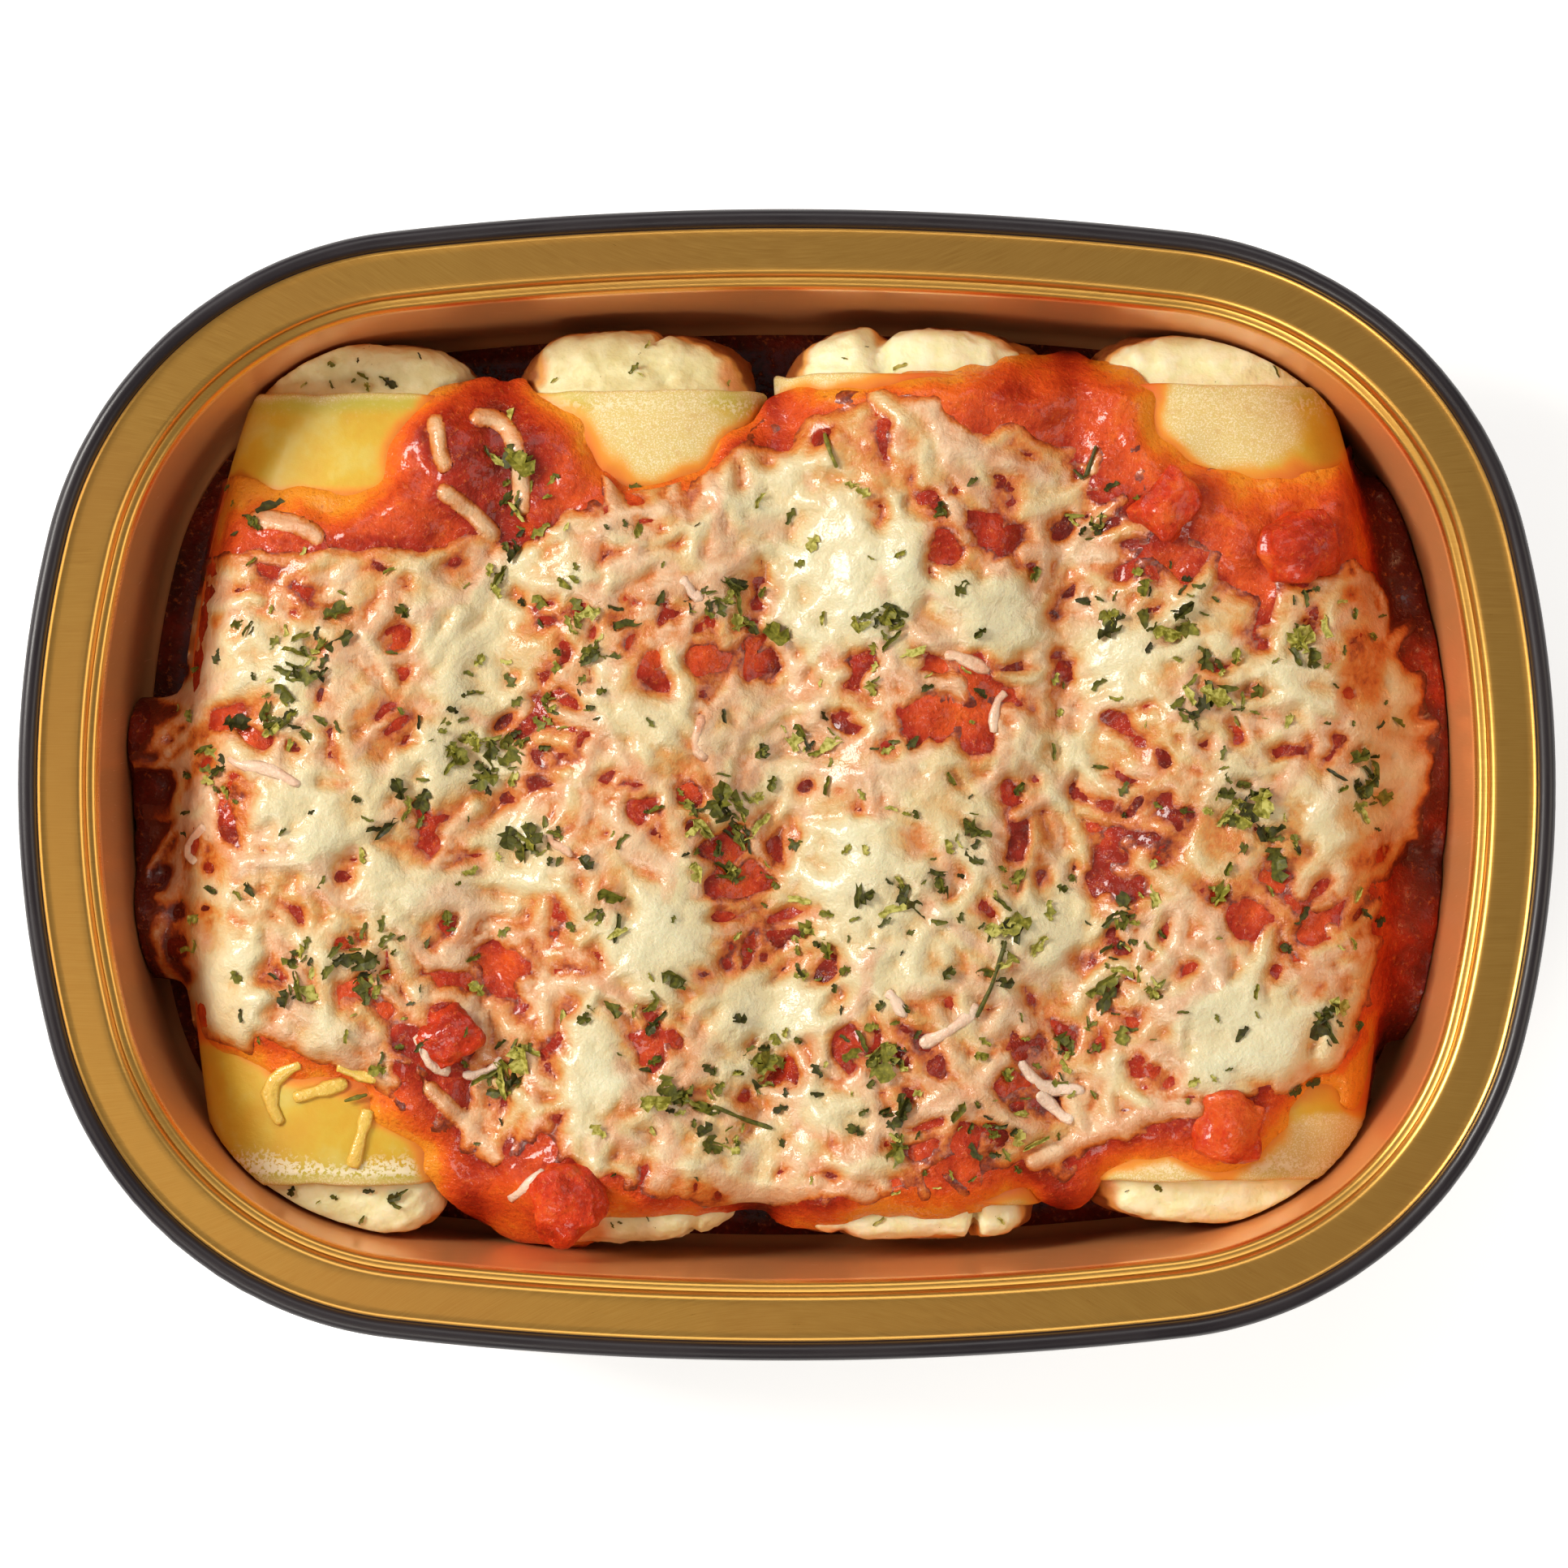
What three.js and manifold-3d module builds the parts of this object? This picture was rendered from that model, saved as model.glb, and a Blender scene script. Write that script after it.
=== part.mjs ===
// Cannelloni baked in a smooth-walled foil tray: four pasta rolls, filled with ricotta, lie side by side
// under tomato sauce, diced tomato, melted shredded mozzarella and dried herbs.
// Millimetres, +Z up. The origin is under the middle of the tray, on the surface that it stands on.
// +X runs along the tray's length and the rolls lie along Y.

import * as THREE from 'three';
import { mergeVertices } from 'three/addons/utils/BufferGeometryUtils.js';
import Module from 'manifold-3d';

const wasm = await Module();
wasm.setup();

// ---------------------------------------------------------------- driving dimensions

const TRAY = {
  length: 225,
  width: 168.5,
  height: 44,
  foil: 0.5,
  longSideRadius: 510, // the long sides bow outwards by this radius
  shortSideRadius: 155, // and the short sides by this one
  cornerRadius: 58,
  beadRadius: 1.3, // rolled outer edge
  flangeInset: 8.5, // inner edge of the flat flange, from the outer edge
  shoulderInset: 9.4,
  stepInset: 10.1, // foot of the step, where the ledge starts
  ledgeInset: 11.4, // inner edge of the ledge, where the wall starts
  stepHeight: 2,
  draft: 3.8, // how far the wall leans in on its way down
  footRadius: 4.5, // between wall and floor
};
const ARC_STEPS = [2, 8, 2]; // steps along a long side's half, a corner and a short side's half
const BEAD_STEPS = 6;
const FOOT_STEPS = 3;

const GAP = 0.3; // clearance between neighbouring solids
const TOPPING_GAP = 0.45; // the same, straight down, under the cheese
const FLATNESS = 0.09; // detail finer than this is left out of the cut solids
const PASTA_THICKNESS = 1.2;
const ROLL_SIDES = 16;
const ROLL_SQUARENESS = 2.5; // exponent of the flattened, rounded section
const ROLL_STATIONS = [-1, -0.72, -0.3, 0.15, 0.6, 1];

// How far out along the filling's bare end each ring is, and the share of the section that it keeps.
const FILLING_TIP = [[0, 1], [0.62, 0.94], [1, 0.64]];

// Each roll: its centre and half width at the back end, the middle and the front end, its height,
// how far the pasta reaches back and forward, and how far the filling stands out of it at each end.
const ROLLS = [
  { back: [-61.6, 18.2], middle: [-66.4, 23.4], front: [-66.4, 18.4], height: 26.5,
    reach: [57.2, -58.6], filling: [8.6, 8.8] },
  { back: [-22.3, 19.4], middle: [-21.6, 20.4], front: [-24.6, 20.0], height: 27.5,
    reach: [57.8, -60.0], filling: [9.8, 8.0] },
  { back: [19.2, 21.2], middle: [20.3, 20.6], front: [18.0, 20.6], height: 28.0,
    reach: [60.2, -61.6], filling: [8.0, 6.4] },
  { back: [61.7, 19.2], middle: [66.0, 23.8], front: [63.4, 21.6], height: 27.0,
    reach: [58.6, -58.0], filling: [9.2, 7.4] },
];

const GRID = { x: 99, y: 68, columns: 26, rows: 15 }; // the sheets of sauce and cheese are meshed on this
const SAUCE_DEPTH = 2.6; // over the tops of the rolls
const SAUCE_RIM_SHARE = 0.4; // of that depth is left at the sauce's edge
const VALLEY_LEVEL = 22.5; // height of the sauce between the rolls
const SAUCE_SINKS_TO = 13; // how far down between them it has run

// The sauce's outline over rolls and spills, in order round it. The ends of the rolls stay bare.
const SAUCE_EDGE = [
  [-86, 43], [-62, 45], [-55, 57], [-42, 60], [-31, 53], [-22, 45], [-4, 52], [10, 58],
  [32, 62], [48, 61], [54, 51], [75, 44], [90, 37], [99, 28], [99, -34], [88, -44], [71, -56],
  [46, -55], [36, -61], [4, -65], [-24, -66], [-33, -70], [-45, -63], [-54, -52], [-64, -43],
  [-90, -38], [-99, -22], [-99, 12], [-91, 26],
];
// Thick places in the sauce, as [x, y, half length, half width, turn in degrees, height].
const SAUCE_LUMPS = [
  [-43, 46, 13, 13, 0, 3.2], [-33, -63, 7.5, 5.5, 80, 3.4], [28, 57, 20, 5, 0, 1.2],
  [-1, -62, 26, 3.5, 0, 1.5], [-49, -34, 11, 9, 40, 2.4], [62, 40, 17, 8, -25, 1.6],
  [-17, -29, 6, 5, 0, 2], [58, 8, 12, 16, 0, 1], [-70, 6, 12, 20, 0, 0.8],
];
const SPILL_X = 80; // past this the sauce has run down to the floor
// Spills between the outer rolls and the tray's wall, as [side, y, half length, height].
const SIDE_SPILLS = [
  [-1, -4, 19, 19], [-1, -22, 7, 15], [1, 6, 26, 17], [1, -22, 20, 14], [1, 34, 12, 12],
];

// Diced tomato, as [x, y, size, turn in degrees].
const TOMATO_DICE = [
  [75.5, 35.5, 12, 15], [56.5, 41.5, 11, 50], [67, -50.5, 12.5, -20], [-50, -38, 12, 35],
  [-33.5, -61.5, 10.5, 10],
];

// The cheese's outline, in order round the sheet.
const CHEESE_EDGE = [
  [-88, 31], [-62, 38], [-30, 46], [-4, 55], [22, 52], [46, 50], [63, 36], [86, 29],
  [94, 8], [88, -18], [84, -37], [58, -47], [40, -57], [4, -61], [-24, -59], [-44, -50],
  [-62, -41], [-88, -38], [-93, -14], [-92, 10],
];
const CHEESE_DEPTH = 1.3;
const HOLES = { count: 18, size: [2.6, 5.6] };
const SHREDS = { count: 20, length: [14, 21], width: 3, depth: 1.8 };
const FLAKES = { count: 50, length: [2.8, 4.2], depth: 0.6 };

// ---------------------------------------------------------------- materials

const material = (name, color, roughness, metalness = 0) =>
  Object.assign(new THREE.MeshStandardMaterial({ color, roughness, metalness }), { name });

const FOIL = material('gold_foil', 0xb8863f, 0.35, 1);
const PASTA = material('pasta', 0xdfbf5a, 0.5);
const RICOTTA = material('ricotta', 0xf0e4c4, 0.6);
const SAUCE = material('tomato_sauce', 0xc23a12, 0.25);
const TOMATO = material('diced_tomato', 0xb02c10, 0.25);
const CHEESE = material('melted_mozzarella', 0xeadfc0, 0.35);

// ---------------------------------------------------------------- small helpers

const clamp = (value, low, high) => Math.min(high, Math.max(low, value));
const mix = (a, b, t) => a + (b - a) * t;

function smoothstep(low, high, value) {
  const t = clamp((value - low) / (high - low), 0, 1);
  return t * t * (3 - 2 * t);
}

// A repeatable source of random numbers between 0 and 1.
function randomFrom(seed) {
  let state = seed >>> 0;
  return () => {
    state = (Math.imul(state, 1664525) + 1013904223) >>> 0;
    return state / 4294967296;
  };
}

// A gentle, repeatable unevenness between -1 and 1 with waves a few centimetres long.
function unevenness(x, y, wavelength) {
  const u = x / wavelength;
  const v = y / wavelength;
  const swell = Math.sin(u * 5.1 + 2.3 * Math.sin(v * 2.7));
  const ripple = Math.sin(v * 6.3 + 1.9 * Math.sin(u * 3.9 + 0.8));
  return 0.5 * (swell + ripple);
}

// How far inside an oval a point is: 1 in the middle, 0 on its edge, negative outside.
function insideOval([cx, cy, halfLength, halfWidth, turn], x, y) {
  const angle = THREE.MathUtils.degToRad(turn);
  const along = (x - cx) * Math.cos(angle) + (y - cy) * Math.sin(angle);
  const across = (y - cy) * Math.cos(angle) - (x - cx) * Math.sin(angle);
  return 1 - Math.hypot(along / halfLength, across / halfWidth);
}

// How far inside a closed outline a point is, negative outside it.
function insideOutline(outline, x, y) {
  let inside = false;
  let nearest = Infinity;
  outline.forEach(([x1, y1], i) => {
    const [x2, y2] = outline[(i + 1) % outline.length];
    const [dx, dy] = [x2 - x1, y2 - y1];
    const along = clamp(((x - x1) * dx + (y - y1) * dy) / (dx * dx + dy * dy), 0, 1);
    nearest = Math.min(nearest, Math.hypot(x - x1 - along * dx, y - y1 - along * dy));
    if ((y1 > y) !== (y2 > y) && x < x1 + ((y - y1) * dx) / dy) inside = !inside;
  });
  return inside ? nearest : -nearest;
}

// ---------------------------------------------------------------- meshes and solids

function makeGeometry(positions, indices) {
  const geometry = new THREE.BufferGeometry();
  geometry.setAttribute('position', new THREE.Float32BufferAttribute(positions, 3));
  geometry.setIndex(indices);
  return geometry;
}

// Turns a closed mesh's faces outwards if they point in.
function faceOutwards(geometry) {
  const position = geometry.getAttribute('position');
  const index = geometry.index.array;
  const [a, b, c] = [new THREE.Vector3(), new THREE.Vector3(), new THREE.Vector3()];
  let volume = 0;
  for (let i = 0; i < index.length; i += 3) {
    a.fromBufferAttribute(position, index[i]);
    b.fromBufferAttribute(position, index[i + 1]);
    c.fromBufferAttribute(position, index[i + 2]);
    volume += a.dot(b.cross(c));
  }
  if (volume < 0) {
    geometry.setIndex(Array.from(index).reverse());
  }
  return geometry;
}

// A body through rings of points, all with the same count. A closed one joins its last ring to its
// first, and an open one has a flat end on each.
function loft(rings, closed = false) {
  const count = rings[0].length;
  const spans = closed ? rings.length : rings.length - 1;
  const indices = [];
  for (let r = 0; r < spans; r += 1) {
    const here = r * count;
    const next = ((r + 1) % rings.length) * count;
    for (let i = 0; i < count; i += 1) {
      const j = (i + 1) % count;
      indices.push(here + i, here + j, next + j);
      indices.push(here + i, next + j, next + i);
    }
  }
  if (!closed) {
    const last = (rings.length - 1) * count;
    for (let i = 1; i < count - 1; i += 1) {
      indices.push(0, i + 1, i);
      indices.push(last, last + i, last + i + 1);
    }
  }
  return faceOutwards(makeGeometry(rings.flat(2), indices));
}

// A sheet over the whole grid, with its own height above and below.
function sheet(topAt, bottomAt) {
  const positions = [];
  for (const heightAt of [topAt, bottomAt]) {
    for (let row = 0; row <= GRID.rows; row += 1) {
      for (let column = 0; column <= GRID.columns; column += 1) {
        const x = mix(-GRID.x, GRID.x, column / GRID.columns);
        const y = mix(-GRID.y, GRID.y, row / GRID.rows);
        positions.push(x, y, heightAt(x, y));
      }
    }
  }
  const width = GRID.columns + 1;
  const layer = width * (GRID.rows + 1);
  const indices = [];
  for (let row = 0; row < GRID.rows; row += 1) {
    for (let column = 0; column < GRID.columns; column += 1) {
      const a = row * width + column;
      const [b, c, d] = [a + 1, a + width + 1, a + width];
      indices.push(a, b, c, a, c, d);
      indices.push(layer + a, layer + c, layer + b, layer + a, layer + d, layer + c);
    }
  }
  const edge = [];
  for (let column = 0; column < GRID.columns; column += 1) edge.push(column);
  for (let row = 0; row < GRID.rows; row += 1) edge.push(row * width + GRID.columns);
  for (let column = GRID.columns; column > 0; column -= 1) edge.push(GRID.rows * width + column);
  for (let row = GRID.rows; row > 0; row -= 1) edge.push(row * width);
  edge.forEach((here, i) => {
    const next = edge[(i + 1) % edge.length];
    indices.push(here, layer + here, layer + next, here, layer + next, next);
  });
  return faceOutwards(makeGeometry(positions, indices));
}

// A smooth closed curve through an outline's points.
function smoothOutline(outline) {
  return new THREE.CatmullRomCurve3(outline.map(([x, y]) => new THREE.Vector3(x, y, 0)), true);
}

// An upright prism on an outline, as tall as the tray.
function outlineSolid(outline) {
  const points = smoothOutline(outline).getPoints(2 * outline.length).slice(0, -1);
  const shape = new THREE.Shape(points.map(({ x, y }) => new THREE.Vector2(x, y)));
  return toSolid(new THREE.ExtrudeGeometry(shape, { depth: TRAY.height, bevelEnabled: false }));
}

function toSolid(geometry) {
  const bare = geometry.clone();
  bare.deleteAttribute('normal');
  bare.deleteAttribute('uv');
  const welded = mergeVertices(bare, 1e-4);
  return new wasm.Manifold(new wasm.Mesh({
    numProp: 3,
    vertProperties: Float32Array.from(welded.getAttribute('position').array),
    triVerts: Uint32Array.from(welded.index.array),
  }));
}

function toGeometry(solid) {
  const { vertProperties, triVerts } = solid.getMesh();
  return makeGeometry(Array.from(vertProperties), Array.from(triVerts));
}

const joined = (solids) => solids.reduce((whole, solid) => whole.add(solid));

// The largest connected piece of a solid, without the loose scraps round it, with nearly flat
// neighbouring faces made one.
function mainPiece(solid) {
  const pieces = solid.simplify(FLATNESS).decompose();
  return pieces.reduce((best, piece) => (piece.volume() > best.volume() ? piece : best));
}

// ---------------------------------------------------------------- tray

// The outline is three tangent arcs a quadrant. The corner's centre lies where the distances to the
// two side arcs' centres are their radii less the corner's.
function trayArcs() {
  const longCentre = [0, TRAY.width / 2 - TRAY.longSideRadius];
  const shortCentre = [TRAY.length / 2 - TRAY.shortSideRadius, 0];
  const toLong = TRAY.longSideRadius - TRAY.cornerRadius;
  const toShort = TRAY.shortSideRadius - TRAY.cornerRadius;
  const [dx, dy] = [shortCentre[0] - longCentre[0], shortCentre[1] - longCentre[1]];
  const apart = Math.hypot(dx, dy);
  const along = (toLong ** 2 - toShort ** 2 + apart ** 2) / (2 * apart);
  const across = Math.sqrt(toLong ** 2 - along ** 2);
  const cornerCentre = [
    longCentre[0] + (dx * along + dy * across) / apart,
    longCentre[1] + (dy * along - dx * across) / apart,
  ];
  const angleFrom = (from, to) => Math.atan2(to[1] - from[1], to[0] - from[0]);
  const upper = angleFrom(longCentre, cornerCentre);
  const lower = angleFrom(shortCentre, cornerCentre);
  return [
    { centre: longCentre, radius: TRAY.longSideRadius, from: Math.PI / 2, to: upper },
    { centre: cornerCentre, radius: TRAY.cornerRadius, from: upper, to: lower },
    { centre: shortCentre, radius: TRAY.shortSideRadius, from: lower, to: 0 },
  ];
}

const ARCS = trayArcs();

// The outline drawn in by an inset, at a height, as one ring of points.
function trayRing(inset, z) {
  const quadrant = [];
  ARCS.forEach(({ centre, radius, from, to }, arc) => {
    for (let step = 0; step < ARC_STEPS[arc]; step += 1) {
      const angle = mix(from, to, step / ARC_STEPS[arc]);
      quadrant.push([
        centre[0] + (radius - inset) * Math.cos(angle),
        centre[1] + (radius - inset) * Math.sin(angle),
      ]);
    }
  });
  const tip = [TRAY.length / 2 - inset, 0];
  const half = [...quadrant, tip, ...quadrant.slice(1).reverse().map(([x, y]) => [x, -y])];
  return [...half, ...half.map(([x, y]) => [-x, -y])].map(([x, y]) => [x, y, z]);
}

const FLANGE_Z = TRAY.height - 2 * TRAY.beadRadius + TRAY.foil;
const LEDGE_Z = FLANGE_Z - TRAY.stepHeight;
const WALL_LEAN = Math.atan2(TRAY.draft, LEDGE_Z - TRAY.foil);

// Inset of the wall's inner face at a height, without the foot's rounding.
const wallInset = (z) => TRAY.ledgeInset + (LEDGE_Z - z) * Math.tan(WALL_LEAN);

// The food side of the foil from the floor out to the flange, as [inset, height].
function innerProfile(gap = 0) {
  const radius = TRAY.footRadius - gap;
  const floor = TRAY.foil + gap;
  const turn = Math.PI / 2 - WALL_LEAN;
  const tangent = radius * Math.tan(turn / 2);
  const corner = wallInset(floor) + gap;
  const profile = [];
  for (let step = 0; step <= FOOT_STEPS; step += 1) {
    const angle = (turn * step) / FOOT_STEPS;
    profile.push([
      corner + tangent - radius * Math.sin(angle),
      floor + radius * (1 - Math.cos(angle)),
    ]);
  }
  profile.push([TRAY.ledgeInset + gap, LEDGE_Z]);
  return profile;
}

function rimProfile() {
  return [
    [TRAY.stepInset, LEDGE_Z],
    [TRAY.shoulderInset, FLANGE_Z - 0.45],
    [TRAY.flangeInset, FLANGE_Z],
  ];
}

// The other face of the foil: each point moved by the foil's thickness, square to the profile.
function outerFace(profile) {
  return profile.map((point, i) => {
    const before = profile[Math.max(i - 1, 0)];
    const after = profile[Math.min(i + 1, profile.length - 1)];
    const [run, rise] = [before[0] - after[0], after[1] - before[1]];
    const length = Math.hypot(run, rise);
    const ends = i === 0 || i === profile.length - 1;
    const [nx, nz] = ends ? [0, -1] : [-rise / length, -run / length];
    return [point[0] + nx * TRAY.foil, point[1] + nz * TRAY.foil];
  });
}

function trayGeometry() {
  const upper = [...innerProfile(), ...rimProfile()];
  const beadZ = TRAY.height - TRAY.beadRadius;
  const beadPoint = (angle) => [
    TRAY.beadRadius * (1 + Math.cos(angle)),
    beadZ + TRAY.beadRadius * Math.sin(angle),
  ];
  const bead = [beadPoint(Math.asin((FLANGE_Z - beadZ) / TRAY.beadRadius))];
  for (let step = 0; step <= BEAD_STEPS; step += 1) {
    bead.push(beadPoint((1.5 * Math.PI * step) / BEAD_STEPS));
  }
  const lower = outerFace(upper).reverse();
  return loft([...upper, ...bead, ...lower].map(([inset, z]) => trayRing(inset, z)));
}

// Everything inside the tray that keeps a gap to the foil.
function cavitySolid() {
  const rings = innerProfile(GAP).map(([inset, z]) => trayRing(inset, z));
  return toSolid(loft(rings));
}

// Moves a point in from the wall where it would come nearer to the foil than the gap. An inner layer
// is held back by its own distance from the outermost one too.
function heldInTray([x, y, z], layer = 0) {
  const [px, py] = [Math.abs(x), Math.abs(y)];
  const arc = ARCS.find(({ centre, to }) =>
    Math.atan2(py - centre[1], px - centre[0]) >= to) ?? ARCS[2];
  const [dx, dy] = [px - arc.centre[0], py - arc.centre[1]];
  const distance = Math.hypot(dx, dy);
  const floorPull = Math.max(0, TRAY.footRadius - (z - TRAY.foil)) * 0.6;
  const limit = arc.radius - wallInset(z) - floorPull - 2 * GAP - layer;
  if (distance <= limit) return [x, y, z];
  const pull = limit / distance;
  return [
    Math.sign(x) * (arc.centre[0] + dx * pull),
    Math.sign(y) * (arc.centre[1] + dy * pull),
    z,
  ];
}

// ---------------------------------------------------------------- pasta rolls

// Centre, half width and height of a roll at a place along it, from -1 in front to 1 at the back.
function rollAt(roll, place) {
  const end = place > 0 ? roll.back : roll.front;
  const blend = Math.min(Math.abs(place), 1.1) ** 2;
  return {
    centre: mix(roll.middle[0], end[0], blend),
    halfWidth: mix(roll.middle[1], end[1], blend),
    height: roll.height - 1.6 * blend,
  };
}

const rollY = (roll, place) => mix(roll.reach[1], roll.reach[0], (place + 1) / 2);
const rollPlace = (roll, y) => (2 * (y - roll.reach[1])) / (roll.reach[0] - roll.reach[1]) - 1;

// One ring of a roll's section, grown or shrunk by an offset.
function rollRing(roll, place, y, offset, scale = 1) {
  const { centre, halfWidth, height } = rollAt(roll, place);
  const halfHeight = height / 2;
  const middle = TRAY.foil + GAP + halfHeight;
  const ring = [];
  for (let side = 0; side < ROLL_SIDES; side += 1) {
    const angle = (2 * Math.PI * (side + 0.5)) / ROLL_SIDES;
    const [cos, sin] = [Math.cos(angle), Math.sin(angle)];
    const rounded = (value) => Math.sign(value) * Math.abs(value) ** (2 / ROLL_SQUARENESS);
    ring.push(heldInTray([
      centre + scale * (halfWidth + offset) * rounded(cos),
      y,
      middle + scale * (halfHeight + offset) * rounded(sin),
    ], -offset));
  }
  return ring;
}

function pastaGeometry(roll) {
  const outer = ROLL_STATIONS.map((place) => rollRing(roll, place, rollY(roll, place), 0));
  const inner = ROLL_STATIONS.map((place) =>
    rollRing(roll, place, rollY(roll, place), -PASTA_THICKNESS));
  return loft([...outer, ...inner.reverse()], true);
}

// The filling runs through the roll and stands out of both ends, rounded off and a little ragged.
function fillingRings(roll, grow) {
  const random = randomFrom(Math.round(roll.height * 100));
  const layer = PASTA_THICKNESS + 4 * GAP - grow;
  const offset = grow - PASTA_THICKNESS - 2 * GAP;
  const ringAt = (place, y, scale = 1, rough = 0) =>
    rollRing(roll, place, y, offset, scale).map(([x, ringY, z]) => {
      const ragged = rough * (random() - 0.5);
      return heldInTray([x + ragged, ringY + ragged, Math.max(z + ragged, TRAY.foil + GAP)], layer);
    });
  const tipAt = (end, [out, scale]) => {
    const place = end === 0 ? 1 : -1;
    const past = out * roll.filling[end] + (out === 1 ? grow : 0);
    return ringAt(place, roll.reach[end] + place * past, scale, grow > 0 || out === 0 ? 0 : 0.9);
  };
  return [
    ...FILLING_TIP.map((tip) => tipAt(1, tip)).reverse(),
    ...ROLL_STATIONS.slice(1, -1).map((place) => ringAt(place, rollY(roll, place))),
    ...FILLING_TIP.map((tip) => tipAt(0, tip)),
  ];
}

const fillingGeometry = (roll) => loft(fillingRings(roll, 0));

// What sauce and cheese keep clear of: each roll and filling, grown by the gap.
function contentsCutter() {
  return joined(ROLLS.flatMap((roll) => {
    const grown = ROLL_STATIONS.map((place) =>
      rollRing(roll, place, rollY(roll, place) + Math.sign(place) * (Math.abs(place) === 1 ? GAP : 0),
        GAP));
    return [toSolid(loft(grown)), toSolid(loft(fillingRings(roll, 3 * GAP)))];
  }));
}

// ---------------------------------------------------------------- sauce

// Height of the rolls' upper side at a point, and of the filling's past their ends.
function contentsTop(x, y) {
  return Math.max(...ROLLS.map((roll) => {
    const place = rollPlace(roll, y);
    const { centre, halfWidth, height } = rollAt(roll, place);
    const across = Math.abs(x - centre) / halfWidth;
    if (across >= 1) return 0;
    const past = Math.max(0, y - roll.reach[0], roll.reach[1] - y);
    const rise = (1 - across ** ROLL_SQUARENESS) ** (1 / ROLL_SQUARENESS);
    const top = TRAY.foil + GAP + (height / 2) * (1 + rise);
    return top - (past > 0 ? 1.5 + 0.13 * past ** 2 : 0);
  }));
}

function sauceTop(x, y) {
  const lumps = SAUCE_LUMPS.reduce((height, lump) =>
    height + lump[5] * smoothstep(0, 0.8, insideOval(lump, x, y)), 0);
  const taper = mix(SAUCE_RIM_SHARE, 1, smoothstep(-2, 6, insideOutline(SAUCE_EDGE, x, y)));
  const onRolls = contentsTop(x, y) + SAUCE_DEPTH * taper + 0.4 * unevenness(x, y, 23) + lumps;
  const valley = Math.abs(x) > 88 ? 0 : VALLEY_LEVEL * smoothstep(68, 56, Math.abs(y)) + lumps;
  const spill = Math.max(...SIDE_SPILLS.map(([side, cy, halfLength, height]) => {
    const reach = 1 - ((y - cy) / halfLength) ** 2;
    const slope = side * x > SPILL_X ? height - 0.5 * (side * x - SPILL_X) : 0;
    return reach > 0 ? slope * Math.sqrt(reach) : 0;
  }));
  return Math.max(onRolls, valley, spill);
}

function tomatoGeometry([x, y, size, turn], grow = 0) {
  const chunk = new THREE.BoxGeometry(1, 0.86, 0.7, 3, 3, 2);
  const position = chunk.getAttribute('position');
  const point = new THREE.Vector3();
  for (let i = 0; i < position.count; i += 1) {
    point.fromBufferAttribute(position, i);
    const round = 0.5 / Math.max(point.length(), 0.01);
    point.multiplyScalar(mix(1, round, 0.45) * (size + 2 * grow));
    position.setXYZ(i, point.x, point.y, point.z);
  }
  chunk.rotateX(0.16);
  chunk.rotateZ(THREE.MathUtils.degToRad(turn));
  chunk.translate(x, y, sauceTop(x, y) - 0.5);
  return chunk;
}

const CONTENTS = contentsCutter();
const DICE = joined(TOMATO_DICE.map((dice) => toSolid(tomatoGeometry(dice, GAP))));

const tomatoSolid = (dice) => mainPiece(toSolid(tomatoGeometry(dice)).subtract(CONTENTS));

function sauceSolid() {
  const body = toSolid(sheet((x, y) => Math.max(sauceTop(x, y), 0), () => -TRAY.foil));
  const under = new THREE.BoxGeometry(2 * SPILL_X, TRAY.width, 2 * SAUCE_SINKS_TO);
  const poured = body.intersect(outlineSolid(SAUCE_EDGE)).intersect(cavitySolid());
  return mainPiece(poured.subtract(toSolid(under)).subtract(CONTENTS).subtract(DICE));
}

// ---------------------------------------------------------------- cheese and herbs

const toppingBase = (x, y) => sauceTop(x, y) + TOPPING_GAP;
const cheeseTop = (x, y) => toppingBase(x, y) + CHEESE_DEPTH * (1 + 0.3 * unevenness(y, x, 13));

// Windows in the net of cheese, through which the sauce shows: upright five-sided wells.
function holeSolids(random) {
  const wells = [];
  for (let i = 0; i < HOLES.count; i += 1) {
    const angle = i * 2.399963;
    const ring = Math.sqrt((i + 0.5) / HOLES.count);
    const [x, y] = [82 * ring * Math.cos(angle), 46 * ring * Math.sin(angle) - 4];
    const well = new THREE.CylinderGeometry(1, 1, TRAY.height, 5);
    well.rotateX(Math.PI / 2);
    well.scale(mix(...HOLES.size, random()), mix(...HOLES.size, random()) * 0.7, 1);
    well.rotateZ(random() * Math.PI);
    well.translate(x, y, TRAY.height / 2);
    wells.push(toSolid(well));
  }
  return wells;
}

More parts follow.
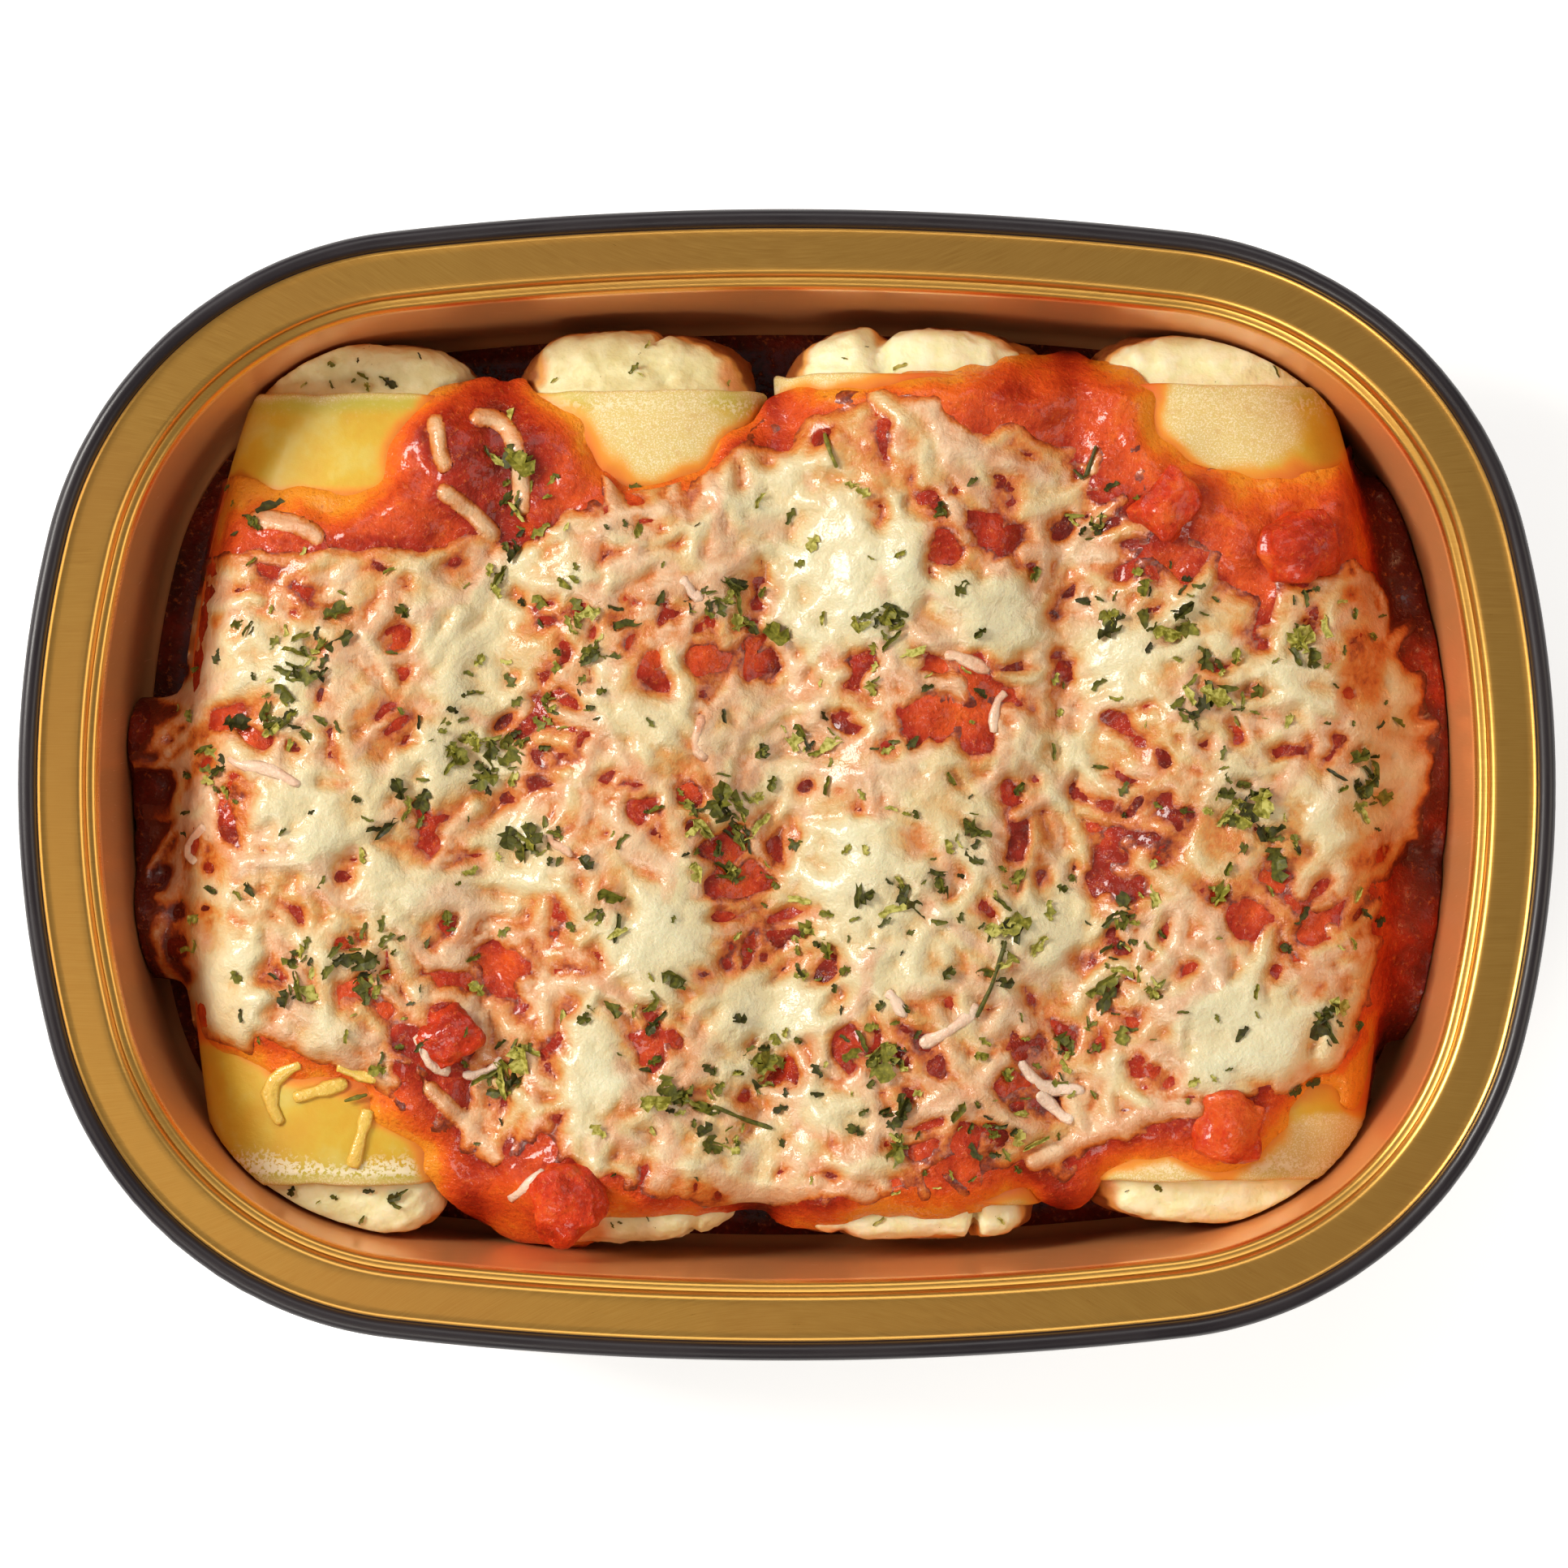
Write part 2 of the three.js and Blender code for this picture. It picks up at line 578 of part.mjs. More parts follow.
// Half-melted shreds round the sheet's edge: flat strips that start on it and reach out over the sauce.
function shredSolids(random) {
  const edge = smoothOutline(CHEESE_EDGE);
  const section = new THREE.Shape([
    new THREE.Vector2(-SHREDS.depth / 2, -SHREDS.width / 2),
    new THREE.Vector2(SHREDS.depth / 2, -SHREDS.width / 2),
    new THREE.Vector2(SHREDS.depth / 2, SHREDS.width / 2),
    new THREE.Vector2(-SHREDS.depth / 2, SHREDS.width / 2),
  ]);
  const strips = [];
  for (let i = 0; i < SHREDS.count; i += 1) {
    const start = edge.getPointAt((i + 0.5 * random()) / SHREDS.count);
    const outward = start.clone().normalize();
    const heading = Math.atan2(outward.y, outward.x) + 1.9 * (random() - 0.5);
    const length = mix(...SHREDS.length, random());
    const bend = 1.2 * (random() - 0.5);
    const points = [-0.5, -0.15, 0.2, 0.5].map((along) => {
      const angle = heading + bend * along;
      const x = start.x + length * along * Math.cos(angle);
      const y = start.y + length * along * Math.sin(angle);
      return new THREE.Vector3(x, y, toppingBase(x, y) + SHREDS.depth * 0.65);
    });
    const path = new THREE.CatmullRomCurve3(points);
    strips.push(toSolid(new THREE.ExtrudeGeometry(section, {
      steps: 2, bevelEnabled: false, extrudePath: path,
    })));
  }
  return strips;
}

// Dried herb flakes: small bent leaves that lie half sunk in the cheese.
function flakeSolids(random) {
  const leaf = new THREE.Shape([
    new THREE.Vector2(-0.5, 0), new THREE.Vector2(-0.1, -0.32), new THREE.Vector2(0.5, -0.08),
    new THREE.Vector2(0.2, 0.34),
  ]);
  const flakes = [];
  for (let i = 0; i < FLAKES.count; i += 1) {
    const angle = i * 2.399963 + 1;
    const ring = Math.sqrt((i + 0.5) / FLAKES.count);
    const x = 80 * ring * Math.cos(angle) + 5 * (random() - 0.5);
    const y = 43 * ring * Math.sin(angle) + 5 * (random() - 0.5) - 2;
    const length = mix(...FLAKES.length, random());
    const flake = new THREE.ExtrudeGeometry(leaf, { depth: FLAKES.depth / length, bevelEnabled: false });
    flake.scale(length, length, length);
    flake.rotateX(0.35 * (random() - 0.5));
    flake.rotateY(0.35 * (random() - 0.5));
    flake.rotateZ(random() * 2 * Math.PI);
    flake.translate(x, y, cheeseTop(x, y) - 0.2);
    flakes.push(toSolid(flake));
  }
  return flakes;
}

function cheeseSolid() {
  const random = randomFrom(20);
  const body = toSolid(sheet(cheeseTop, toppingBase)).intersect(outlineSolid(CHEESE_EDGE));
  const net = body.subtract(joined(holeSolids(random)));
  const dressed = net.add(joined(shredSolids(random))).add(joined(flakeSolids(random)));
  const under = toSolid(sheet(toppingBase, () => -TRAY.foil));
  return mainPiece(dressed.subtract(under).subtract(CONTENTS).subtract(DICE).intersect(cavitySolid()));
}

// ---------------------------------------------------------------- the whole

const group = new THREE.Group();

function addMesh(name, geometry, look) {
  const mesh = new THREE.Mesh(geometry, look);
  mesh.name = name;
  group.add(mesh);
}

addMesh('tray', trayGeometry(), FOIL);
ROLLS.forEach((roll, i) => {
  addMesh(`pasta_roll_${i + 1}`, pastaGeometry(roll), PASTA);
  addMesh(`ricotta_filling_${i + 1}`, fillingGeometry(roll), RICOTTA);
});
addMesh('tomato_sauce', toGeometry(sauceSolid()), SAUCE);
TOMATO_DICE.forEach((dice, i) => addMesh(`tomato_dice_${i + 1}`, toGeometry(tomatoSolid(dice)), TOMATO));
addMesh('mozzarella', toGeometry(cheeseSolid()), CHEESE);

export default group;
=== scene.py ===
# %% [markdown]
# # Cannelloni baked in a foil tray
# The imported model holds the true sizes: a smooth-walled foil tray, four pasta rolls with their
# ricotta filling, the tomato sauce, five pieces of diced tomato and the sheet of mozzarella.
# This lesson dresses each of them. Blender counts in metres, but food is easier to think about in
# millimetres, so the shapes are worked out in those and scaled at the very end.

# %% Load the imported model
import itertools
import math

import bmesh
import bpy
import numpy as np
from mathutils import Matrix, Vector
from mathutils.bvhtree import BVHTree


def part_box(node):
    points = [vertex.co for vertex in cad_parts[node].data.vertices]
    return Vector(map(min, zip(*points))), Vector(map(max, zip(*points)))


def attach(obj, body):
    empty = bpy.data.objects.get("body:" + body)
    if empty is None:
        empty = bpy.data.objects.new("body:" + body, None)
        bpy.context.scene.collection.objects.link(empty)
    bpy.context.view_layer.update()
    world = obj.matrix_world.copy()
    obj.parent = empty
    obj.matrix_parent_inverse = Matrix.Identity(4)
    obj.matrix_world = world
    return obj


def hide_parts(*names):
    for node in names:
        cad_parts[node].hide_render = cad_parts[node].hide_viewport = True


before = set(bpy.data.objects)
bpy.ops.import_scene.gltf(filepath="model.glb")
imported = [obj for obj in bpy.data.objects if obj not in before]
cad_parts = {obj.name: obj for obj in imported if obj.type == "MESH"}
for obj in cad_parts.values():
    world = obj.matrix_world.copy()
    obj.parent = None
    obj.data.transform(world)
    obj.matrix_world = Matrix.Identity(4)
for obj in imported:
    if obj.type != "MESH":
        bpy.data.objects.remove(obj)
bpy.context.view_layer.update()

MM = 0.001

# %% [markdown]
# ## Small tools
# Arrays of numbers do the heavy lifting, because sauce and melted cheese need tens of thousands of
# points. Noise is made from a hash of the lattice corner, so it is the same on each run.

# %% Blending and noise
HASH_START, HASH_SEED, HASH_FACTOR, HASH_MASK = 2891336453, 747796405, 1274126177, 0xFFFFFFFF


def mix(a, b, share):
    return a + (b - a) * share


def smoothstep(low, high, value):
    share = np.clip((value - low) / (high - low), 0, 1)
    return share * share * (3 - 2 * share)


def unit(vectors):
    return vectors / np.linalg.norm(vectors, axis=-1)[..., None]


def circle(angle):
    return np.column_stack([np.cos(angle), np.sin(angle)])


def lattice_value(corner, seed):
    """A repeatable number between -1 and 1 for each whole-numbered corner."""
    state = np.full(corner.shape[:-1], seed * HASH_SEED + HASH_START, np.uint64)
    for axis in range(corner.shape[-1]):
        state = (state + corner[..., axis].astype(np.int64).astype(np.uint64)) & HASH_MASK
        state = (state * HASH_FACTOR) & HASH_MASK
        state = state ^ (state >> 15)
    return state / (HASH_MASK >> 1) - 1.0


def noise(points, size, seed, octaves=1):
    """Smooth noise from -1 to 1 at points of two or three coordinates, with bumps of that size."""
    total, weight, reach = 0.0, 1.0, 0.0
    for octave in range(octaves):
        cell = np.asarray(points, float) / (size / 2**octave)
        corner = np.floor(cell)
        part = cell - corner
        part = part * part * (3 - 2 * part)
        for offset in itertools.product((0, 1), repeat=cell.shape[-1]):
            share = np.prod(np.where(np.array(offset) == 1, part, 1 - part), axis=-1)
            total = total + weight * share * lattice_value(corner + offset, seed + octave)
        reach += weight
        weight *= 0.5
    return total / reach


print("noise at two places:", noise(np.array([[0.3, 4.1], [9.0, 2.2]]), 3, 1))

# %% [markdown]
# ## From rows of points to a mesh
# Most pieces here are a skin: rows of points with quads between them. `create_grid` makes the
# quads, each vertex is put on its own point, and vertices that meet are welded, which closes a
# tube's seam and a pole without any special case. The same few lines finish every piece.

# %% Skins and pieces


def meshed(work, name):
    """The mesh of a bmesh that is done with."""
    mesh = bpy.data.meshes.new(name)
    work.to_mesh(mesh)
    work.free()
    return mesh


def move_to(verts, points):
    """Puts vertices on points in millimetres."""
    for vert, point in zip(verts, points * MM):
        vert.co = point


def thickened(work):
    """Doubles the faces, and gives back the vertices of the second layer."""
    layer = bmesh.ops.extrude_face_region(work, geom=work.faces[:], use_keep_orig=True)
    return [part for part in layer["geom"] if isinstance(part, bmesh.types.BMVert)]


def skin(rows, name, slots_by_row=None, uv=None):
    """A mesh through rows of points in millimetres, welded where its edges meet."""
    rows = np.asarray(rows, float)
    along, across = rows.shape[0] - 1, rows.shape[1] - 1
    work = bmesh.new()
    bmesh.ops.create_grid(work, x_segments=across, y_segments=along, size=1)
    place = {vert: (round((vert.co.y + 1) / 2 * along), round((vert.co.x + 1) / 2 * across))
             for vert in work.verts}
    for vert in work.verts:
        vert.co = rows[place[vert]] * MM
    if uv is not None:
        layer = work.loops.layers.uv.new("sheet")
        for face in work.faces:
            face.material_index = int(slots_by_row[min(place[vert][0] for vert in face.verts)])
            for loop in face.loops:
                loop[layer].uv = uv[place[loop.vert]]
    bmesh.ops.remove_doubles(work, verts=work.verts[:], dist=0.002 * MM)
    bmesh.ops.recalc_face_normals(work, faces=work.faces[:])
    return meshed(work, name)


def vertex_array(mesh):
    """A mesh's vertices in millimetres."""
    flat = np.empty(len(mesh.vertices) * 3, np.float32)
    mesh.vertices.foreach_get("co", flat)
    return flat.reshape(-1, 3).astype(float) / MM


def paint(mesh, **layers):
    """Stores numbers for each vertex under their names, for the material to read."""
    for name, values in layers.items():
        layer = mesh.attributes.new(name, "FLOAT", "POINT")
        layer.data.foreach_set("value", np.asarray(values, np.float32))


def linked(name, data):
    """A new object in the scene."""
    thing = bpy.data.objects.new(name, data)
    bpy.context.scene.collection.objects.link(thing)
    return thing


def add_piece(name, mesh, finishes, slot, *nodes, smooth=True):
    """A finished piece that rides on the tray's body and stands for those nodes."""
    piece = linked(name, mesh)
    for finish in finishes:
        mesh.materials.append(finish.material)
    mesh.polygons.foreach_set("use_smooth", np.full(len(mesh.polygons), smooth))
    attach(piece, "root")
    if nodes:
        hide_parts(*nodes)
    print(f"{name}: {sum(len(face.vertices) - 2 for face in mesh.polygons)} triangles")


# %% [markdown]
# ## Materials
# A finish is a Principled shader with a few texture nodes in front of it. The class below keeps
# that short: it adds a node, fills its sockets, and links a socket wherever it is given another
# node's output instead of a number.

# %% Finishes


def colour(red, green, blue):
    """A colour as a screen shows it, from 0 to 255, in the linear numbers that shaders take."""
    channels = []
    for value in (red, green, blue):
        share = value / 255
        channels.append(share / 12.92 if share <= 0.04045 else ((share + 0.055) / 1.055) ** 2.4)
    return (*channels, 1.0)


class Finish:
    """A material, its Principled shader and a short way to add nodes in front of it."""

    def __init__(self, name, **constants):
        self.material = bpy.data.materials.new(name)
        self.material.use_nodes = True
        self.tree = self.material.node_tree
        self.shade(**constants)
        self.spot = self.add("TexCoord", output="Object")

    def shade(self, **sockets):
        """Fills the shader's sockets, whose names are written with underscores here."""
        self.fill(self.tree.nodes["Principled BSDF"],
                  {key.replace("_", " "): value for key, value in sockets.items()})

    def fill(self, node, sockets):
        for key, value in sockets.items():
            if isinstance(value, bpy.types.NodeSocket):
                self.tree.links.new(value, node.inputs[key])
            else:
                node.inputs[key].default_value = value

    def add(self, kind, sockets=None, output=0, **settings):
        node = self.tree.nodes.new("ShaderNode" + kind)
        for key, value in settings.items():
            setattr(node, key, value)
        self.fill(node, sockets or {})
        return node.outputs[output]

    def noise(self, scale, detail=3.0, roughness=0.5, source=None):
        return self.add("TexNoise", {"Vector": self.spot if source is None else source,
                                     "Scale": scale, "Detail": detail, "Roughness": roughness})

    def painted(self, name):
        return self.add("Attribute", output="Fac", attribute_name=name)

    def maths(self, operation, *values, clamp=False):
        return self.add("Math", dict(enumerate(values)), operation=operation, use_clamp=clamp)

    def plus(self, *values):
        return self.maths("ADD", *values)

    def less(self, *values, clamp=False):
        return self.maths("SUBTRACT", *values, clamp=clamp)

    def times(self, *values):
        return self.maths("MULTIPLY", *values)

    def ranged(self, value, low, high, to_low=0.0, to_high=1.0):
        return self.add("MapRange", {"Value": value, "From Min": low, "From Max": high,
                                     "To Min": to_low, "To Max": to_high},
                        interpolation_type="SMOOTHSTEP")

    def blend(self, factor, a, b):
        a, b = (colour(*tone) if isinstance(tone, tuple) else tone for tone in (a, b))
        return self.add("Mix", {0: factor, 6: a, 7: b}, output=2, data_type="RGBA")

    def ramp(self, value, stops):
        """A colour for each place along a scale from 0 to 1, as (place, red, green, blue)."""
        node = self.tree.nodes.new("ShaderNodeValToRGB")
        self.fill(node, {"Fac": value})
        elements = node.color_ramp.elements
        while len(elements) < len(stops):
            elements.new(0.5)
        for element, (place, *tone) in zip(elements, stops):
            element.position = place
            element.color = colour(*tone)
        return node.outputs["Color"]

    def bumps(self, *layers):
        """Bumps laid over each other, as (height, distance in millimetres, strength)."""
        under = {}
        for height, distance, strength in layers:
            under = {"Normal": self.add("Bump", {"Height": height, "Distance": distance * MM,
                                                 "Strength": strength, **under})}
        return under["Normal"]


# %% [markdown]
# ## The foil tray
# The tray is pressed from one sheet: gold lacquer on the food side, black on the other. Seen from
# above, its outline is three tangent arcs a quadrant, and every height of it is that outline drawn
# in by some inset. So the whole tray is one profile of [inset, height] points carried round the
# outline. The rolled bead shows the black side, as the sheet curls over there.

# %% The tray's outline
TRAY_LENGTH, TRAY_WIDTH, TRAY_HEIGHT = np.subtract(*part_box("tray")[::-1]) / MM
FOIL = 0.5
LONG_SIDE_RADIUS, SHORT_SIDE_RADIUS, CORNER_RADIUS = 510.0, 155.0, 58.0
ARC_STEPS = (24, 34, 12)


def tray_arcs():
    """The centre, radius and two end angles of each arc of the quadrant with x and y above 0."""
    long_centre = np.array([0, TRAY_WIDTH / 2 - LONG_SIDE_RADIUS])
    short_centre = np.array([TRAY_LENGTH / 2 - SHORT_SIDE_RADIUS, 0])
    to_long, to_short = LONG_SIDE_RADIUS - CORNER_RADIUS, SHORT_SIDE_RADIUS - CORNER_RADIUS
    between = short_centre - long_centre
    apart = np.hypot(*between)
    along = (to_long**2 - to_short**2 + apart**2) / (2 * apart)
    across = math.sqrt(to_long**2 - along**2)
    step = np.array([between[0] * along + between[1] * across,
                     between[1] * along - between[0] * across]) / apart
    corner_centre = long_centre + step
    upper, lower = (math.atan2(*(corner_centre - centre)[::-1])
                    for centre in (long_centre, short_centre))
    return [(long_centre, LONG_SIDE_RADIUS, math.pi / 2, upper),
            (corner_centre, CORNER_RADIUS, upper, lower),
            (short_centre, SHORT_SIDE_RADIUS, lower, 0)]


ARCS = tray_arcs()


def all_round(quadrant, mirror):
    """A quadrant's values carried on round the ring, mirrored by a factor, back to the first."""
    half = np.concatenate([quadrant, quadrant[-2:0:-1] * mirror[0]])
    ring = np.concatenate([half, half * mirror[1]])
    return np.concatenate([ring, ring[:1]])


def tray_ring(inset):
    """The outline drawn in by an inset, once round and back to its first point."""
    quadrant = [centre + (radius - inset) * circle(np.linspace(start, end, steps, endpoint=False))
                for (centre, radius, start, end), steps in zip(ARCS, ARC_STEPS)]
    return all_round(np.vstack([*quadrant, [[TRAY_LENGTH / 2 - inset, 0]]]), ([1, -1], -1))


# How far into a corner each point of the ring is: 1 in its middle, 0 on the sides.
corner_steps = np.sin(np.pi * np.arange(ARC_STEPS[1]) / ARC_STEPS[1])
into_corner = all_round(np.pad(corner_steps, (ARC_STEPS[0], ARC_STEPS[2] + 1)), (1, 1))
edge_points = tray_ring(0)
outward = unit(edge_points)
print("points round the tray:", len(edge_points), "corner centre:", ARCS[1][0])

# %% The tray's profile
BEAD_RADIUS = 1.3
FLANGE_Z = TRAY_HEIGHT - 2 * BEAD_RADIUS + FOIL
LEDGE_Z = FLANGE_Z - 2.0
LEDGE_INSET = 11.4
WALL_DRAFT = 3.8
FOOT_RADIUS = 4.5
LIP_RADIUS, SHOULDER_RADIUS = 1.05, 1.25
WALL_LEAN = math.atan2(WALL_DRAFT, LEDGE_Z - FOIL)


def wall_inset(z):
    """Inset of the wall's inner face at a height."""
    return LEDGE_INSET + (LEDGE_Z - z) * math.tan(WALL_LEAN)


def arc_points(centre, radius, start, end, steps):
    """Points of [inset, height] on an arc between two angles in degrees."""
    return np.array(centre) + radius * circle(np.radians(np.linspace(start, end, steps)))


def gold_profile():
    """The food side, from the foot of the wall out to the flange's outer edge."""
    turn = math.pi / 2 - WALL_LEAN
    tangent = FOOT_RADIUS * math.tan(turn / 2)
    foot_centre = (wall_inset(FOIL) + tangent, FOIL + FOOT_RADIUS)
    foot = arc_points(foot_centre, FOOT_RADIUS, -90, -90 - math.degrees(turn), 10)
    heights = np.linspace(foot[-1, 1], LEDGE_Z - 1.1, 14)[1:]
    wall = np.column_stack([wall_inset(heights), heights])
    lip = arc_points((LEDGE_INSET - LIP_RADIUS, LEDGE_Z - LIP_RADIUS), LIP_RADIUS, 5, 80, 7)
    step = [[9.95, LEDGE_Z + 0.02], [9.78, LEDGE_Z + 0.2], [9.74, LEDGE_Z + 0.6]]
    shoulder = arc_points((8.45, FLANGE_Z - SHOULDER_RADIUS), SHOULDER_RADIUS, 5, 90, 9)
    flange = [[inset, FLANGE_Z] for inset in (7.6, 6.6, 5.4, 4.2, 3.4)]
    turned_up = [[3.02, FLANGE_Z + 0.1], [2.8, FLANGE_Z + 0.32]]
    return np.vstack([foot, wall, lip, step, shoulder, flange, turned_up])


def black_profile(food_side):
    """The other side: the food side moved out by the foil's thickness, back to the foot."""
    slope = unit(np.gradient(food_side, axis=0))
    other = food_side + FOIL * np.column_stack([-slope[:, 1], slope[:, 0]])
    other[:, 1] = np.clip(other[:, 1], 0, FLANGE_Z - FOIL)
    return other[::-1][4:]


GOLD = gold_profile()
BEAD = arc_points((BEAD_RADIUS, TRAY_HEIGHT - BEAD_RADIUS), BEAD_RADIUS, -14, 262, 24)
BLACK = black_profile(GOLD)
print("profile points:", len(GOLD), "gold,", len(BEAD), "bead,", len(BLACK), "black")

# %% [markdown]
# The sheet gathers into small pleats where the bead goes round a corner, and pressed foil is never
# quite flat, so the walls sway a little. The UV map unrolls the profile, so that the rolling marks
# run over flange and wall as they ran over the flat sheet.

# %% The tray as one skin
FLOOR_SHARES = (0.0, 0.3, 0.62, 0.86)
PLEAT_DEPTH, PLEAT_WIDTH = 0.11, 1.5
SWAY_DEPTH, SWAY_WIDTH = 0.12, 34.0
UV_LENGTH = 10


def level_ring(ring, z):
    return np.column_stack([ring, np.full(len(ring), z)])


def floor_rings(inset, z, shares):
    return [level_ring(tray_ring(inset) * share, z) for share in shares]


def carried_round(profile, shift, low=-1, high=99):
    """A ring for each point of a profile, shifted outward between two heights."""
    return [level_ring(tray_ring(inset) + outward * (shift * (low < z < high))[:, None], z)
            for inset, z in profile]


pleats = PLEAT_DEPTH * into_corner * (noise(edge_points, PLEAT_WIDTH, 5) - 1) / 2
sway = SWAY_DEPTH * noise(edge_points, SWAY_WIDTH, 6)
gold_rows = [*floor_rings(GOLD[0, 0], FOIL, FLOOR_SHARES),
             *carried_round(GOLD, sway, 4, FLANGE_Z - 1)]
tray_rows = np.array([*gold_rows, *carried_round(BEAD, pleats),
                      *carried_round(BLACK, sway, 4, FLANGE_Z - 1),
                      *floor_rings(BLACK[-1, 0], 0, FLOOR_SHARES[::-1])])
unrolled = np.cumsum(np.linalg.norm(np.diff(tray_rows, axis=0), axis=2).mean(axis=1))
sheet_uv = outward[None] * np.concatenate([[0], unrolled])[:, None, None] / UV_LENGTH
tray_mesh = skin(tray_rows, "foil_tray", np.arange(len(tray_rows)) >= len(gold_rows) - 1, sheet_uv)
print("tray skin:", len(tray_mesh.vertices), "vertices")

# %% [markdown]
# Brushed gold lacquer is metal whose roughness and height vary along fine lines. They come from
# noise stretched along the sheet, and a slower noise takes the colour from straw to bronze. Below
# the flange the walls get a lighter, more coppery and cloudy, less metallic colour: a painted
# reflection of the food and light they mirror. The black side is a dark lacquer, slightly purple,
# with a faint grain.

# %% Gold foil and black lacquer
gold = Finish("gold_foil")
grain = gold.noise(1.0, 4.0, 0.7, gold.add("Mapping", {
    "Vector": gold.add("UVMap", uv_map="sheet"), "Scale": (1.2, 60.0, 1.0)}))
cloud = gold.noise(26.0, 2.0)
# Painted reflection: below the flange the walls get a lighter, coppery, less metallic colour that
# stands in for the food and light they mirror.
drawn = gold.ranged(gold.add("SeparateXYZ", {"Vector": gold.spot}, output="Z"),
                    (FLANGE_Z - 4.8) * MM, (FLANGE_Z - 2.2) * MM, 1.0, 0.0)
tone = gold.blend(gold.ranged(grain, 0.3, 0.7), (220, 164, 80), (228, 178, 92))
tone = gold.blend(gold.ranged(cloud, 0.35, 0.75, 0.0, 0.3), tone, (222, 156, 84))
gold.shade(Base_Color=gold.blend(drawn, tone, (246, 168, 104)),
           Metallic=gold.ranged(drawn, 0.0, 1.0, 1.0, 0.36),
           Roughness=gold.less(gold.ranged(grain, 0.2, 0.8, 0.27, 0.35), gold.times(drawn, 0.07)),
           Normal=gold.bumps((grain, 0.012, 0.35)))

black = Finish("black_lacquer", Metallic=0.0, Coat_Weight=0.15, Coat_Roughness=0.2)
patches = black.noise(60.0, 3.0)
black.shade(Base_Color=black.blend(patches, (18, 11, 18), (30, 20, 26)),
            Roughness=black.ranged(patches, 0.3, 0.7, 0.34, 0.5),
            Normal=black.bumps((black.noise(900.0, 2.0), 0.03, 0.4)))
add_piece("foil_tray", tray_mesh, [gold, black], "foil", "tray")

# %% [markdown]
# ## The pasta rolls
# Each roll is a flattened tube of pasta with ricotta standing out of both ends. Its section is a
# superellipse, between an oval and a rounded box, and its centre, width and height change along it.
# The same numbers give the height of the rolls at any point, which the sauce and cheese lie on.

# %% The rolls' sizes
# Each roll: centre and half width at the back, the middle and the front, its height, how far the
# pasta reaches back and forward, and how far the filling stands out of it at each end.
ROLLS = [
    dict(back=(-61.6, 18.2), middle=(-66.4, 23.4), front=(-66.4, 18.4), height=26.5,
         reach=(57.2, -58.6), filling=(8.6, 8.8)),
    dict(back=(-22.3, 19.4), middle=(-21.6, 20.4), front=(-24.6, 20.0), height=27.5,
         reach=(57.8, -60.0), filling=(9.8, 8.0)),
    dict(back=(19.2, 21.2), middle=(20.3, 20.6), front=(18.0, 20.6), height=28.0,
         reach=(60.2, -61.6), filling=(8.0, 6.4)),
    dict(back=(61.7, 19.2), middle=(66.0, 23.8), front=(63.4, 21.6), height=27.0,
         reach=(58.6, -58.0), filling=(9.2, 7.4)),
]
PASTA_THICKNESS = 1.2
ROLL_SQUARENESS = 2.5
CLEARANCE = 0.3
ROLL_FOOT = FOIL + CLEARANCE


def roll_section(roll, y, beyond=0.0):
    """Centre, half width and height of a roll at some y, a little beyond its ends if wanted."""
    back, front = roll["reach"]
    place = 2 * (np.asarray(y, float) - front) / (back - front) - 1
    share = np.minimum(np.abs(place), 1 + beyond) ** 2
    end = np.where(place[..., None] > 0, roll["back"], roll["front"])
    return (mix(roll["middle"][0], end[..., 0], share), mix(roll["middle"][1], end[..., 1], share),
            roll["height"] - 1.6 * share)


def past_ends(roll, y):
    """How far past its pasta's ends points along a roll are."""
    return np.maximum(0, np.maximum(y - roll["reach"][0], roll["reach"][1] - y))


def contents_top(x, y):
    """Height of the rolls' upper side, and of the filling past their ends. 0 is between them."""
    top = np.zeros(np.broadcast(x, y).shape)
    for roll in ROLLS:
        centre, half_width, height = roll_section(roll, y, 0.1)
        across = np.abs(x - centre) / half_width
        rise = np.clip(1 - across**ROLL_SQUARENESS, 0, 1) ** (1 / ROLL_SQUARENESS)
        past = past_ends(roll, y)
        here = ROLL_FOOT + height / 2 * (1 + rise) - (past > 0) * (1.5 + 0.13 * past**2)
        top = np.maximum(top, np.where(across < 1, here, 0))
    return top


def held_in_tray(points, layer=0.0):
    """Points moved in from the wall where they would come nearer to the foil than the clearance."""
    points = np.array(points, float)
    quarter = np.abs(points[..., :2])
    height = points[..., 2]
    floor_pull = np.maximum(0, FOOT_RADIUS - (height - FOIL)) * 0.6
    result = quarter.copy()
    taken = np.zeros(height.shape, bool)
    for centre, radius, _, end in ARCS:
        offset = quarter - centre
        angle = np.arctan2(offset[..., 1], offset[..., 0])
        here = ~taken & ((angle >= end) | (end == 0))
        taken |= here
        distance = np.maximum(np.linalg.norm(offset, axis=-1), 1e-6)
        limit = radius - wall_inset(height) - floor_pull - 2 * CLEARANCE - layer
        moved = centre + offset * np.minimum(1, limit / distance)[..., None]
        result = np.where(here[..., None], moved, result)
    points[..., :2] = np.sign(points[..., :2]) * result
    return points


print("top of the rolls at y 0:", contents_top(np.array([-66, -21, 20, 66]), 0.0).round(1))

# %% [markdown]
# The pasta is one skin that runs back along the outside, turns over the cut edge and comes forward
# along the inside, so the tube has a wall with a real, soft-edged rim. It sags and waves a little,
# and at the rim the cooked sheet flares by a fraction of a millimetre.

# %% Pasta tubes
ROLL_AROUND, PASTA_OUTSIDE_STEPS, PASTA_INSIDE_STEPS = 96, 84, 30
RIM_TURNS = (30, 60, 90, 120, 150)


